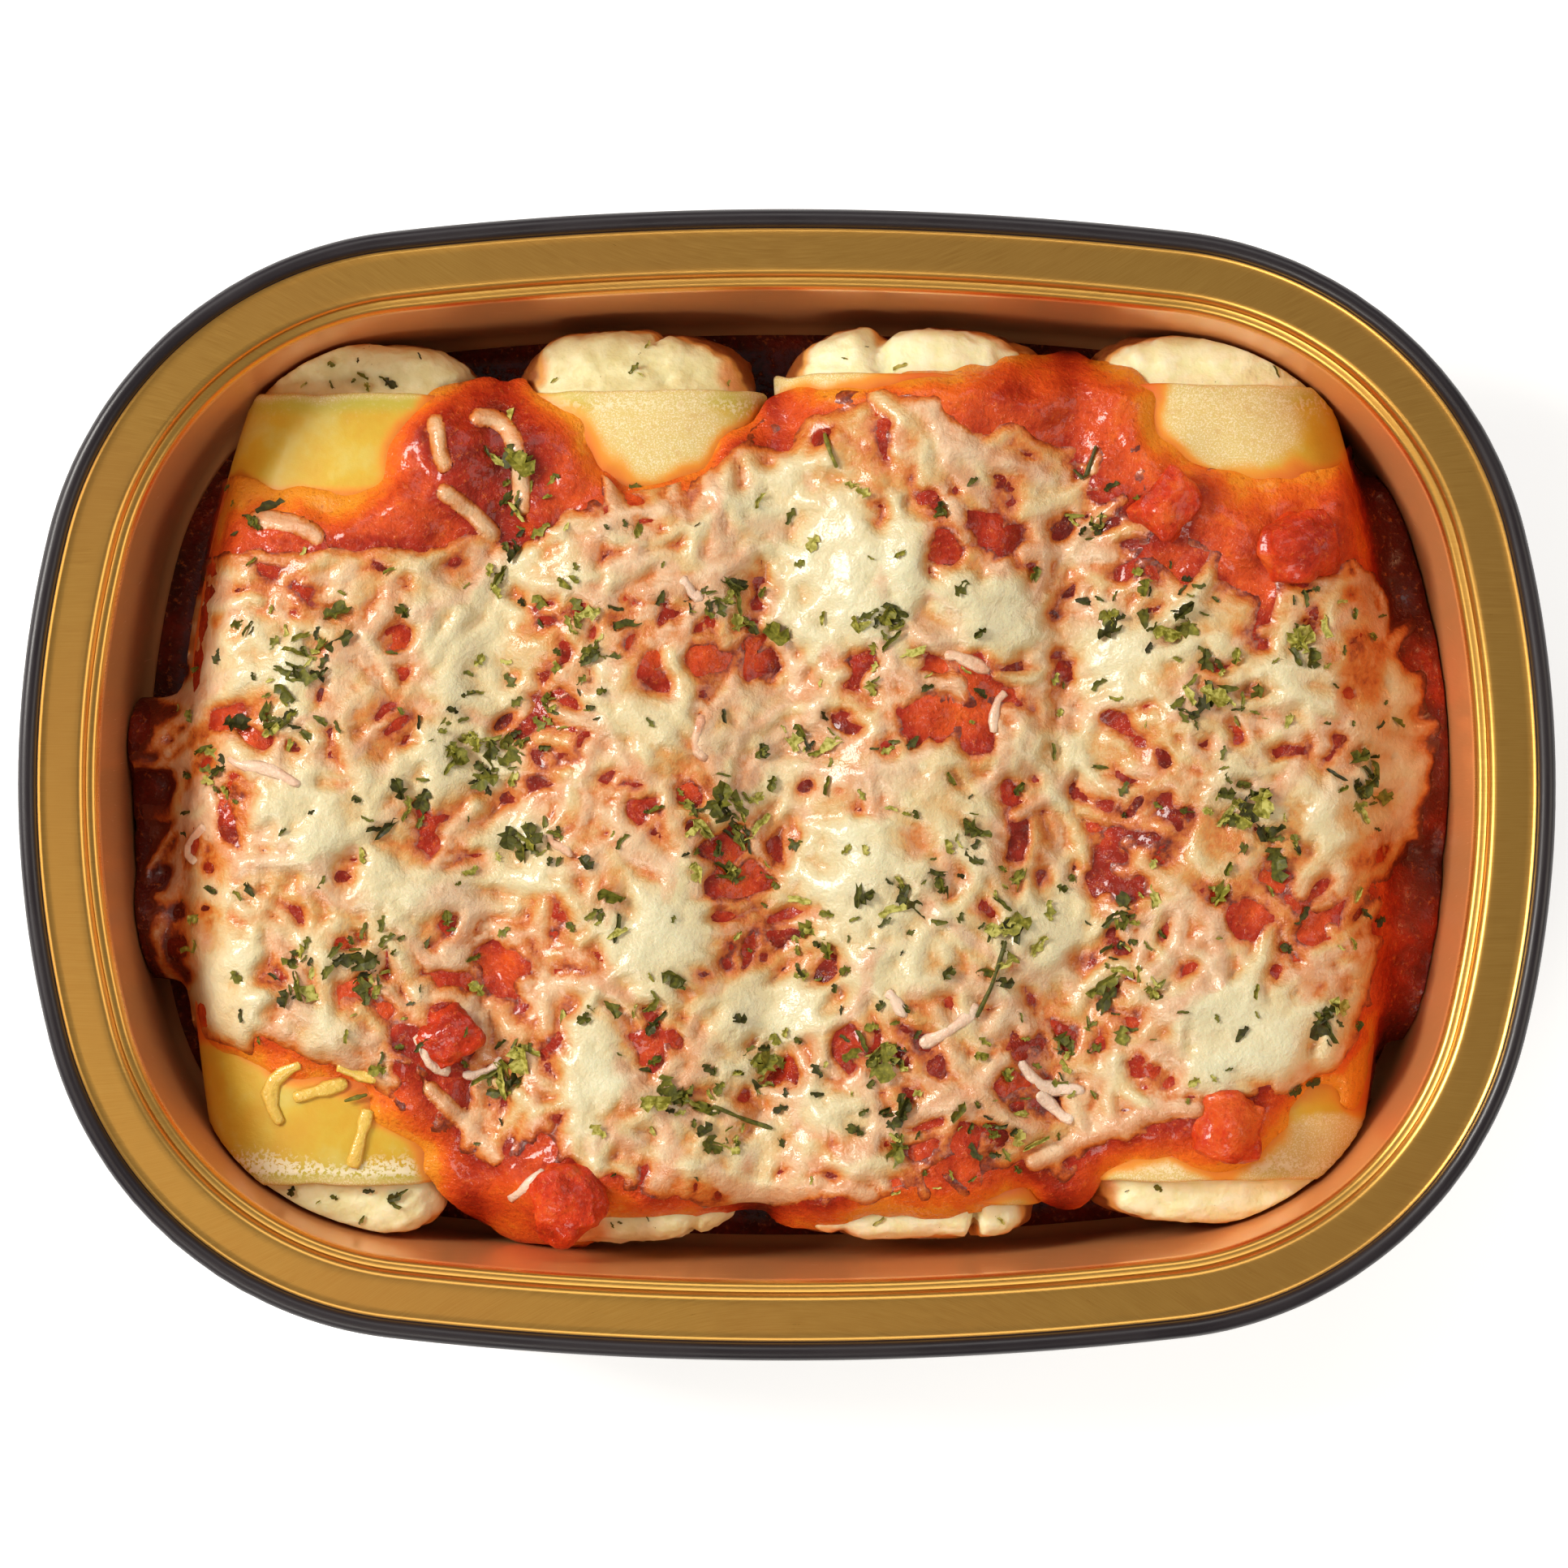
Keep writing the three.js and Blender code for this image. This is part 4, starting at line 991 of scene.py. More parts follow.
# Patches where it melted thin and peach coloured.
THIN = [(87, 14, 5, 13, 0), (20, -6, 9, 5, 20), (42, -33, 10, 5, 0), (60, -6, 12, 6, 0),
        (-22, 12, 6, 7, 0), (-72, 30, 9, 4, 0)]
# Single shreds that stand out against the sauce, as points along each.
CHOSEN_SHREDS = [
    [(-51.8, 53.6), (-51.4, 50), (-50.6, 47.2)],
    [(-45.7, 54.1), (-41.6, 54.1), (-40.1, 48.1), (-39.2, 41.2)],
    [(-50.6, 43.2), (-47, 40.5), (-43.6, 37.2)], [(-78.4, 39.2), (-73, 38.6), (-69.5, 36.7)],
    [(-26.2, 48.1), (-25.9, 44), (-24.7, 40.2)], [(-52.6, -44.9), (-47.5, -50), (-43.1, -55.3)],
    [(24.9, -39.8), (28.9, -46.3), (35.8, -51.4)], [(31.9, -40.3), (29.5, -43), (27.3, -46.3)],
    [(40.7, -43.8), (42.6, -48), (44.2, -51.8)], [(13.9, -50.3), (20, -48.5), (25.4, -46.3)],
    [(-11, -56.8), (-4.5, -61.2), (4.5, -58.8)], [(36.7, -55.8), (51.5, -49.3), (60.5, -47.9)],
    [(62.9, -45.4), (64.6, -48.6), (65.9, -51.8)],
]
# Shreds that lie on bare pasta.
PASTA_SHREDS = [[(-71.8, -41.3), (-76.4, -44.8), (-74.8, -50.3)], [(-73.1, -46.4), (-64.9, -44)],
                [(-61.9, -47.9), (-64.3, -56.8)], [(-66.5, -41.5), (-60.5, -43.5)]]

cheese_inside = inside_outline(CHEESE_EDGE) + 2.6 * noise(XY, 9, 101, 2)
ragged = 0.5 * noise(XY, 3.2, 103, 3)
cream = highest(CREAM, -0.25, 0.65, ragged)
opened = 0.85 * highest(WINDOWS, -0.15, 0.5, ragged)
thin = highest(THIN, 0, 0.6)
crowding = np.clip(0.7 + 0.45 * noise(XY, 11, 105, 2), 0.12, 1) * (1 - 0.78 * opened)
crowding *= smoothstep(-2.0, 3.0, cheese_inside)
print("strands crowd on", round(100 * (crowding > 0.15).mean()), "% of the raster")

# %% Strands
STRAND_STEP = 1.6


def strand_path(start, heading, length, bend, wiggle):
    """A line of points that sets out in a heading and turns as it goes."""
    steps = max(4, int(length / STRAND_STEP))
    turn = (heading + bend * np.linspace(-0.5, 0.5, steps)
            + wiggle * np.sin(np.linspace(0, 2 * np.pi, steps)))
    points = start + np.cumsum(circle(turn), axis=0) * length / steps
    return points - (points.mean(0) - start)


def lay_of_strands(point):
    """The heading that strands tend to have at a place."""
    return math.pi * (0.5 + 0.9 * float(noise(np.array([point]), 34, 107)[0]))


def along_shred(corners):
    """A smooth line of points through a chosen shred's few corners."""
    share = np.linspace(0, 1, len(corners))
    bends = min(2, len(corners) - 1)
    return np.column_stack([np.polyval(np.polyfit(share, part, bends), np.linspace(0, 1, 9))
                            for part in np.transpose(corners)])


MELTED_STRANDS = 860
draw = np.random.default_rng(43)
strands = np.zeros(X.shape)
milkiness = np.full(X.shape, 0.5)
laid = 0
while laid < MELTED_STRANDS:
    start = draw.uniform((-97, -64), (97, 54))
    if draw.random() > at(crowding, *start):
        continue
    heading = lay_of_strands(start) + draw.normal(0, 0.8)
    path = strand_path(start, heading, draw.uniform(8, 22), draw.normal(0, 1.0),
                       draw.normal(0, 0.4))
    window, section = section_over(path, draw.uniform(0.75, 1.5), draw.uniform(0.6, 1.4))
    below = strands[window]
    milkiness[window] = np.where(section > 0.7 * below + 0.05, draw.random(), milkiness[window])
    strands[window] = np.maximum(below, section) + 0.25 * np.minimum(below, section)
    laid += 1
single = np.zeros(X.shape)
for path in map(along_shred, CHOSEN_SHREDS):
    window, section = section_over(path, draw.uniform(1.2, 1.55), draw.uniform(1.2, 1.5))
    milkiness[window] = np.where(section > 0.3, draw.uniform(0.1, 0.5), milkiness[window])
    single[window] = np.maximum(single[window], section)
single *= 0.9 + 0.25 * noise(XY, 1.8, 116, 2)
print("strands reach", strands.max().round(1), "mm")

# %% Melting
# Small oily pits where fat has pooled and browned, as dents that nearly go through the cheese.
OILY_PITS = 220
pits = np.zeros(X.shape)
draw = np.random.default_rng(45)
for _ in range(OILY_PITS):
    start = draw.uniform((-94, -62), (94, 50))
    heading = lay_of_strands(start) + draw.normal(0, 0.6)
    path = strand_path(start, heading, draw.uniform(0.8, 5.0), 0.8, 0)
    window, section = section_over(path, draw.uniform(0.4, 0.95), draw.uniform(0.7, 1.0))
    pits[window] = np.maximum(pits[window], section)

melt = np.clip(0.04 + 0.2 * noise(XY, 10, 109) + 0.3 * cream, 0.0, 1)
net = mix(blurred(strands, 0.2), blurred(strands, 1.2), melt)
sheet = -0.12 + 0.5 * noise(XY * [1.25, 0.8], 6.5, 117, 3) + 0.32 * noise(XY, 1.9, 118, 2)
pool = cream * (1 + 0.3 * noise(XY * [1.0, 0.45], 4.6, 111, 2))
within = smoothstep(-1.5, 2.0, cheese_inside)
body = (sheet + 0.9 * pool) * (1 - opened) + 0.95 * net * (1 - 0.45 * opened)
body = body * within * (1 - 0.35 * thin) - 0.5 * opened - 0.3 * (1 - within)
body = body - 0.6 * pits * (1 - 0.5 * np.clip(cream, 0, 1))
body = np.maximum(body, 1.25 * single + 0.1 * noise(XY, 1.9, 115) - 0.35)
cheese_thickness = np.minimum(body, 1.7 + 0.4 * (body - 1.7))
film = 0.65 * cheese_thickness + 0.35 * blurred(cheese_thickness, 1.3)
base = mix(wet_top, blurred(wet_top, 1.6), smoothstep(0.1, 1.2, cheese_thickness))
cheese_top = base + cheese_thickness * np.where(cheese_thickness > 0, 1, 1.5)
cheese_keep = np.minimum((blurred(cheese_thickness, 0.3) + 0.12) * 2,
                         np.minimum(sauce_inside - 0.5, (settled - 8.6) / 3))
cheese_mesh = drape("melted_mozzarella_skin", 0.65, cheese_top, cheese_keep,
                    np.clip(cheese_thickness, 0, 9) + 0.5)
cheese_points = vertex_array(cheese_mesh)
# Low down beside the outer rolls the film is lowered, so the cheese there is painted browner and
# darker: partly thinner cheese, partly painted shade.
paint(cheese_mesh, film=under(cheese_points, film) - 0.6 * smoothstep(22, 12, cheese_points[:, 2]),
      milkiness=under(cheese_points, blurred(milkiness, 0.5)), cream=under(cheese_points, cream))
# Painted shade on the sauce: darker under the cheese's edges and in the small windows between its
# strands.
cover = blurred(smoothstep(0.0, 0.5, cheese_thickness), 2.2)
paint(sauce_mesh, cover=under(sauce_points, cover))
print("cheese: top at", cheese_points[:, 2].max().round(1), "mm, on",
      round(100 * (cheese_thickness > 0).mean()), "% of the raster")

# %% [markdown]
# Some shreds never melted in. They lie on top, mostly over sauce, and are real strands here: one
# short rod, bent along its own path and laid on whatever is under it.

# %% Whole shreds
SHREDS_LOOSE = 14


def rod():
    """A straight shred along x, one long and one in radius, closed and rounded at both ends."""
    work = bmesh.new()
    bmesh.ops.create_grid(work, x_segments=8, y_segments=9, size=0.5)
    for vert in work.verts:
        angle = (vert.co.x + 0.5) * 2 * math.pi
        reach = math.sqrt(max(0.0, 1 - (abs(vert.co.y) * 2) ** 3.4))
        vert.co = (math.sin(vert.co.y * math.pi) / 2, math.cos(angle) * reach,
                   math.sin(angle) * reach)
    bmesh.ops.remove_doubles(work, verts=work.verts[:], dist=0.01)
    bmesh.ops.recalc_face_normals(work, faces=work.faces[:])
    return work


def shape_arrays(work):
    """The points and the faces of a bmesh, as arrays to copy many times."""
    work.verts.index_update()
    points = np.array([vert.co for vert in work.verts])
    return points, [[vert.index for vert in face.verts] for face in work.faces]


def joined(name, pieces):
    """One mesh of many pieces, each given as its points in millimetres and its faces."""
    starts = np.cumsum([0] + [len(points) for points, _ in pieces])
    mesh = bpy.data.meshes.new(name)
    mesh.from_pydata((np.concatenate([points for points, _ in pieces]) * MM).tolist(), [],
                     [[index + start for index in face]
                      for (_, faces), start in zip(pieces, starts) for face in faces])
    return mesh


def along_path(path, share):
    """Places and headings at shares of a path's length."""
    steps = np.linalg.norm(np.diff(path, axis=0), axis=1)
    run = np.concatenate([[0], np.cumsum(steps)]) / steps.sum()
    place, ahead, behind = (
        np.column_stack([np.interp(where, run, part) for part in path.T])
        for where in (share, np.minimum(share + 0.06, 1), np.maximum(share - 0.06, 0)))
    return place, unit(ahead - behind)


surface = np.maximum(np.maximum(sauce_top, bare_top), np.where(cheese_keep > 0, cheese_top, 0))
rest_surface = blurred(surface, 0.9)


def laid_shred(path, radius, flatness, sunk):
    """The points and faces of a shred laid along a path, sunk in by a share of its radius."""
    share = np.clip(rod_points[:, 0] + 0.5, 0, 1)
    place, heading = along_path(path, share)
    across = np.column_stack([-heading[:, 1], heading[:, 0]])
    wide = radius * (1 + 0.2 * np.sin(share * 8 + path[0, 0])
                     + 0.1 * np.sin(share * 19 + path[0, 1]))
    lift = under(place, rest_surface) + radius * flatness * (1 - sunk)
    return np.column_stack([place + across * (rod_points[:, 1] * wide)[:, None],
                            lift + rod_points[:, 2] * radius * flatness]), rod_faces


rod_points, rod_faces = shape_arrays(rod())
draw = np.random.default_rng(47)
shreds = []
wanted = smoothstep(-6, 2, cheese_inside) * (0.12 + 0.88 * opened) * (settled > 15)
wanted *= 1 - 0.8 * smoothstep(0.4, 1.2, cream)
while len(shreds) < SHREDS_LOOSE:
    start = draw.uniform((-88, -64), (90, 56))
    if draw.random() > at(wanted, *start):
        continue
    heading = lay_of_strands(start) + draw.normal(0, 0.9)
    path = strand_path(start, heading, draw.uniform(6, 14), draw.normal(0, 0.9),
                       draw.normal(0, 0.25))
    if under(path, sauce_inside).min() >= 1.0:
        shreds.append(laid_shred(path, draw.uniform(0.65, 1.0), draw.uniform(0.5, 0.7),
                                 draw.uniform(0.9, 1.3)))
for path in map(along_shred, PASTA_SHREDS):
    shreds.append(laid_shred(path, draw.uniform(0.95, 1.15), 0.4, 1.0))
shred_mesh = joined("mozzarella_shreds_mesh", shreds)
paint(shred_mesh, milkiness=np.repeat(draw.random(len(shreds)), len(rod_points)),
      yellowed=np.repeat(np.arange(len(shreds)) >= SHREDS_LOOSE, len(rod_points)))
print("shreds:", len(shreds), "of", len(rod_faces), "faces")

# %% [markdown]
# ## Dried herbs
# Crumbled dried leaves lie over the cheese in clusters, with a few bits of stem. Six jagged leaf
# pieces are modelled once, as thin curled solids, and copied some hundreds of times. Each copy is
# dropped straight down on the food and leans with the surface that it lands on.

# %% What the herbs land on
food = bmesh.new()
for mesh in [*pasta_meshes, *filling_meshes, sauce_mesh, *dice_meshes, cheese_mesh]:
    food.from_mesh(mesh)
food_tree = BVHTree.FromBMesh(food)
food.free()


def landing(x, y):
    """Where something dropped at a point lands, in millimetres, and the slope there."""
    place, normal, _, _ = food_tree.ray_cast(Vector((x * MM, y * MM, 0.1)), Vector((0, 0, -1)))
    return None if place is None else (np.array(place) / MM, np.array(normal))


print("the middle of the food is at", landing(0, 0)[0].round(1))

# %% Leaf pieces
LEAF_THICKNESS = 0.03


def leaf_piece(seed):
    """A torn, nearly flat bit of leaf about one long, with a real thickness."""
    shape = np.random.default_rng(seed)
    slender, lean, fold = shape.uniform((0.12, -0.5, 0.15), (0.34, 0.5, 0.55))
    work = bmesh.new()
    bmesh.ops.create_grid(work, x_segments=6, y_segments=2, size=0.5)
    for vert in work.verts:
        along, across = vert.co.x, vert.co.y * 2
        lobe = shape.uniform(0.3, 1.5)
        fullness = max(0.25, 1 - abs(2 * along) ** 2.4) ** 0.7
        skew = 0.07 * shape.uniform(-1, 1) + lean * slender
        vert.co = (along + skew * abs(across),
                   across * slender * fullness * lobe + 0.07 * math.sin(3.0 * along + seed),
                   fold * slender * abs(across) + 0.05 * math.sin(4.5 * along + seed))
    bmesh.ops.triangulate(work, faces=work.faces[:])
    bmesh.ops.translate(work, verts=thickened(work), vec=(0, 0, -LEAF_THICKNESS))
    bmesh.ops.recalc_face_normals(work, faces=work.faces[:])
    return shape_arrays(work)


leaves = [leaf_piece(seed) for seed in (3, 8, 14, 21, 30, 37)]
print("leaf pieces of", [len(faces) for _, faces in leaves], "faces")

# %% Scattering
# Where herbs fell thickly, as [x, y, spread, how many].
HERB_CLUSTERS = [
    (-71, 21, 6, 16), (-80, 39, 4, 6), (-40, 46, 4.5, 12), (-38, 40, 3, 6), (-32, 11, 5, 10),
    (-44, 2, 6, 12), (-49, 10, 5, 9), (-36, -8, 4.5, 13), (-9, 27, 4, 12), (-8, -8, 6.5, 26),
    (-10, -4, 4, 8), (18, -15, 6, 10), (32, -20, 5, 16), (67, -3, 4, 12), (72, -11, 5, 12),
    (86, 1, 4, 12), (64, 13, 6, 18), (45, 39, 2.5, 8), (16, 23, 4, 9), (-60, -26, 5, 14),
    (-73, -27, 4, 8), (-68, -26, 4, 6), (-42, -42, 4.5, 12), (-4, -44, 5.5, 14),
    (-17, -46, 4, 10), (17, -51, 6, 10), (31, -52, 5.5, 14), (14, -39, 5, 12), (41, -40, 4, 6),
    (81, -35, 3, 6), (48, -30, 5, 9), (-11, -51, 4, 6), (48, 24, 6, 9), (-57, -3, 5, 8),
    (-75, 8, 6, 12), (-86, 2, 4, 8), (-30, 24, 5, 12), (-44, 31, 4, 8), (60, 24, 6, 10),
    (2, 6, 6, 9), (5, -22, 5, 9), (25, -8, 6, 9), (-20, -30, 5, 6), (52, -18, 6, 10),
    (-28, -20, 4, 7), (76, 22, 5, 8),
]
CLUSTER_FACTOR, SCATTERED_FLAKES, RICOTTA_SPECKS = 1.3, 300, 40
STEMS = [[(5.5, 52), (6.4, 49), (7.4, 46.7)], [(42.3, 46.7), (44, 45), (45.7, 50.2)],
         [(32.3, -22.9), (30.3, -29.4), (27.9, -34.4)], [(-11, -47.3), (-6, -49.5), (-2, -50.8)],
         [(-65.5, -46.8), (-63.5, -46.2), (-62, -45.8)]]


def laid_leaf(x, y, length):
    """One copy of a leaf piece, turned at random and leaning with what it lies on."""
    points, faces = leaves[draw.integers(len(leaves))]
    place, normal = landing(x, y)
    points = points * length * [1, draw.uniform(0.7, 1.4), draw.uniform(0.5, 1.8)]
    turn = draw.uniform(0, 2 * math.pi)
    upright = unit(normal * 0.8 + [0, 0, 0.35] + draw.normal(0, 0.17, 3))
    ahead = unit(np.cross(upright, [math.sin(turn), -math.cos(turn), 0]))
    axes = np.array([ahead, np.cross(upright, ahead), upright])
    return points @ axes + place + upright * 0.22, faces


draw = np.random.default_rng(53)
spots = [(*draw.normal((x, y), spread * 0.6), 1.4 + 3.4 * draw.random() ** 1.8)
         for x, y, spread, count in HERB_CLUSTERS for _ in range(round(CLUSTER_FACTOR * count))]
clustered = len(spots)
while len(spots) < clustered + SCATTERED_FLAKES:
    x, y = draw.uniform((-92, -60), (92, 46))
    if at(cheese_inside, x, y) > 1:
        spots.append((x, y, draw.uniform(0.9, 2.9)))
for _ in range(RICOTTA_SPECKS):
    roll = ROLLS[draw.choice([0, 0, 0, 1, 2, 3])]
    side = draw.choice([0, 1])
    y = roll["reach"][side] + (1, -1)[side] * draw.uniform(1.5, roll["filling"][side] - 2)
    end = roll[("back", "front")[side]]
    spots.append((end[0] + draw.uniform(-0.75, 0.75) * end[1], y, draw.uniform(0.7, 2.4)))
flakes = [laid_leaf(*spot) for spot in spots if landing(*spot[:2])]
for path in STEMS:
    points, faces = laid_shred(np.array(path), 0.32, 1.0, 0.1)
    flakes.append((points + [0, 0, 0.35], faces))
herb_mesh = joined("dried_herbs_mesh", flakes)
paint(herb_mesh, tone=np.concatenate([np.full(len(points), draw.random())
                                      for points, _ in flakes]))
print("herbs:", len(flakes), "pieces")

# %% [markdown]
# ## Finishes of the food
# Food is never one colour, and light goes a little way into it. Each finish mixes its colours by
# what was painted on the mesh, such as how thick the cheese is, and by noise in object space. The
# pasta, ricotta and cheese let light scatter under the surface by a millimetre or so.

# %% Pasta
DRY_PATCHES = [(-20, 52, 12, 9, 0), (9, 58, 15, 5, 0), (65, 53.5, 13, 8, 0),
               (81, -53.5, 10, 5.5, 0), (59, -56, 14, 3, 0)]
# How much each roll's pasta is whitened and frayed at its back and its front end.
FRAY_BACK, FRAY_FRONT = (0.1, 0.6, 0.8, 0.5), (1.0, 0.5, 0.5, 0.8)

pasta = Finish("cooked_pasta", Subsurface_Weight=0.3, Subsurface_Scale=MM,
               Subsurface_Radius=(1.4, 0.9, 0.3), Coat_Weight=0.06, Coat_Roughness=0.2)
flour = pasta.noise(4200.0, 3.0, 0.7)
blotch = pasta.noise(110.0, 4.0, 0.6)
tan = pasta.noise(480.0, 3.0, 0.6)
fray, stain = pasta.painted("fray"), pasta.painted("stain")
dryness = pasta.ranged(pasta.plus(pasta.painted("dry"), pasta.times(pasta.less(blotch, 0.5), 1.1)),
                       0.1, 0.75)
tone = pasta.ramp(pasta.ranged(blotch, 0.3, 0.72), [
    (0.0, 206, 160, 34), (0.5, 208, 174, 50), (1.0, 208, 188, 88)])
tone = pasta.blend(pasta.painted("rim"), tone, (188, 178, 66))
tone = pasta.blend(pasta.times(dryness, 0.82), tone, (216, 194, 126))
tone = pasta.blend(pasta.times(pasta.ranged(flour, 0.48, 0.62), dryness), tone, (232, 220, 182))
specks = pasta.plus(pasta.noise(1500.0, 3.0, 0.6), pasta.times(fray, 0.2))
tone = pasta.blend(pasta.times(pasta.ranged(specks, 0.58, 0.68), fray), tone, (238, 230, 196))
tone = pasta.blend(pasta.times(pasta.ranged(tan, 0.56, 0.7), pasta.times(dryness, 0.45)),
                   tone, (206, 166, 98))
soaked = pasta.ramp(stain, [(0.0, 216, 170, 48), (0.5, 222, 148, 40), (1.0, 216, 104, 26)])
pasta.shade(Base_Color=pasta.blend(pasta.ranged(stain, 0.02, 0.6), tone, soaked),
            Roughness=pasta.ranged(dryness, 0.0, 1.0, 0.5, 0.75),
            Normal=pasta.bumps((blotch, 0.5, 0.4), (tan, 0.16, 0.5), (flour, 0.05, 0.5)))

for i, (mesh, roll) in enumerate(zip(pasta_meshes, ROLLS)):
    points = vertex_array(mesh)
    back, front = roll["reach"]
    from_end = np.minimum(back - points[:, 1], points[:, 1] - front)
    dry = sum(bump(patch, -0.15, 0.45, points=points) for patch in DRY_PATCHES).clip(0, 1)
    frayed = smoothstep(4.4, 1.2, from_end + 1.6 * noise(points[:, :2], 6, 133))
    frayed *= smoothstep(0.3, 1.1, from_end)
    near_sauce = under(points, sauce_inside) + 1.2 * noise(points[:, :2], 5, 131)
    paint(mesh, dry=dry + 0.5 * smoothstep(0.9, 0.0, from_end), rim=smoothstep(2.6, 0.6, from_end),
          fray=frayed * np.where(points[:, 1] > 0, FRAY_BACK[i], FRAY_FRONT[i]),
          stain=smoothstep(-3.4, 0.8, near_sauce))
    add_piece(f"pasta_roll_{i + 1}_skin", mesh, [pasta], "pasta", f"pasta_roll_{i + 1}")

# %% Ricotta
STAINED_ENDS = [(-39, 62, 4.5, 4, 0), (-6.5, 61, 5, 5, 0), (44, 63.5, 5, 5, 0),
                (46.5, -60.5, 3.5, 5, 0), (-30, -66, 5, 3, 0), (6, -67, 6, 2, 0)]
# How pale each filling is at its back and its front end: partly the ricotta's own tone, partly
# painted light and shade, with the lower numbers on ends that stand in less light.
PALE_AND_LIT_BACK, PALE_AND_LIT_FRONT = (0.4, 0.25, 1.0, 1.0), (0.7, 0.6, 1.0, 1.0)

ricotta = Finish("ricotta", Subsurface_Weight=0.4, Subsurface_Scale=MM,
                 Subsurface_Radius=(1.8, 1.2, 0.7), Coat_Weight=0.1, Coat_Roughness=0.35)
curd = ricotta.noise(420.0)
pepper = ricotta.noise(1100.0, 2.0, 0.6)
browned = ricotta.painted("browned")
curdled = ricotta.ranged(curd, 0.3, 0.7)
# Partly painted shade: ends with a low number get the darker, tan ricotta.
tone = ricotta.blend(ricotta.painted("fresh"),
                     ricotta.blend(curdled, (210, 196, 136), (228, 220, 168)),
                     ricotta.blend(curdled, (240, 242, 188), (250, 254, 214)))
for factor, over in ((ricotta.ranged(pepper, 0.74, 0.78), (120, 104, 50)),
                     (ricotta.ranged(ricotta.painted("stain"), 0.1, 0.9, 0, 0.8), (226, 138, 56)),
                     (ricotta.ranged(browned, 0.1, 0.6), (224, 164, 84)),
                     (ricotta.ranged(browned, 0.6, 1.0), (146, 80, 30))):
    tone = ricotta.blend(factor, tone, over)
ricotta.shade(Base_Color=tone, Roughness=ricotta.ranged(curd, 0.2, 0.8, 0.42, 0.62),
              Normal=ricotta.bumps((pepper, 0.16, 0.6), (curd, 0.5, 0.8)))

for i, mesh in enumerate(filling_meshes):
    points = vertex_array(mesh)
    at_back = points[:, 1] > 0
    top = points[:, 2].max()
    rim = smoothstep(top - 4.4, top - 8.0, points[:, 2] + 1.2 * noise(points, 5, 140 + i))
    rim *= smoothstep(-0.5, 0.3, noise(points, 18, 150 + i) + 0.3 * at_back)
    paint(mesh, browned=rim, fresh=np.where(at_back, PALE_AND_LIT_BACK[i], PALE_AND_LIT_FRONT[i]),
          stain=sum(bump(end, -0.2, 0.7, points=points) for end in STAINED_ENDS).clip(0, 1))
    add_piece(f"ricotta_filling_{i + 1}_skin", mesh, [ricotta], "ricotta",
              f"ricotta_filling_{i + 1}")

# %% Tomato sauce and dice
SAUCE_STOPS = [(0.0, 226, 142, 36), (0.09, 222, 106, 26), (0.3, 206, 76, 26),
               (0.64, 160, 38, 14), (1.0, 86, 20, 10)]
DICE_STOPS = [(0.0, 146, 28, 8), (0.5, 198, 54, 16), (1.0, 220, 96, 32)]
# The juices' reds are dark enough to also paint the shade on the tray's floor.
JUICE_AND_FLOOR_SHADE_STOPS = [(0.0, 120, 30, 14), (0.5, 84, 22, 12), (1.0, 52, 16, 12)]


def tomato(name, stops, with_depth_and_shade=False):
    """Wet, grainy red, by how deep it lies and by painted shade, where these are painted on the
    mesh.
    """
    finish = Finish(name, Coat_Weight=0.5, Coat_Roughness=0.05, IOR=1.3, Specular_IOR_Level=0.25)
    swirl = finish.noise(110.0, 4.0, 0.7)
    grains = finish.noise(1100.0, 3.0, 0.65)
    glints = finish.noise(2400.0, 2.0)
    if with_depth_and_shade:
        # The painted depth also carries painted shade, darker where the sauce lies low beside the
        # rolls.
        amount = finish.plus(finish.painted("depth"), finish.times(finish.less(swirl, 0.5), 8.0))
        # Painted shade: darker where the cheese covers the sauce and in the windows between its
        # strands.
        amount = finish.plus(amount, finish.times(finish.painted("cover"), 3.2))
        amount = finish.ranged(amount, 0.0, 8.5)
    else:
        amount = finish.ranged(swirl, 0.25, 0.75)
    tone = finish.ramp(amount, stops)
    tone = finish.blend(finish.ranged(grains, 0.56, 0.72, 0, 0.35), tone, (232, 118, 40))
    tone = finish.blend(finish.ranged(grains, 0.42, 0.3, 0, 0.4), tone, (126, 24, 10))
    sparks = finish.ranged(grains, 0.5, 0.72)
    finish.shade(Base_Color=tone, Roughness=finish.ranged(swirl, 0.25, 0.75, 0.45, 0.6),
                 Normal=finish.bumps((grains, 0.45, 0.9), (glints, 0.1, 0.8)),
                 Coat_Normal=finish.bumps((sparks, 0.14, 0.9), (glints, 0.025, 0.6)))
    return finish


add_piece("tomato_sauce_skin", sauce_mesh, [tomato("tomato_sauce", SAUCE_STOPS, True)], "sauce",
          "tomato_sauce")
add_piece("pan_juices_and_floor_shade", juice_and_floor_shade_mesh, [tomato("pan_juices_and_floor_shade", JUICE_AND_FLOOR_SHADE_STOPS)], "sauce")
diced = tomato("diced_tomato", DICE_STOPS)
for i, mesh in enumerate(dice_meshes):
    add_piece(f"tomato_dice_{i + 1}_skin", mesh, [diced], "tomato", f"tomato_dice_{i + 1}")

# %% Mozzarella
# By the cheese's thickness in millimetres.
CHEESE_STOPS = [(-0.1, 100, 28, 8), (0.04, 138, 50, 12), (0.14, 172, 76, 20), (0.28, 196, 104, 34),
                (0.46, 205, 126, 54), (0.68, 207, 149, 80), (0.94, 210, 173, 117),
                (1.32, 215, 195, 148), (2.32, 218, 212, 176)]
FILM_LOW, FILM_HIGH = -0.3, 2.4


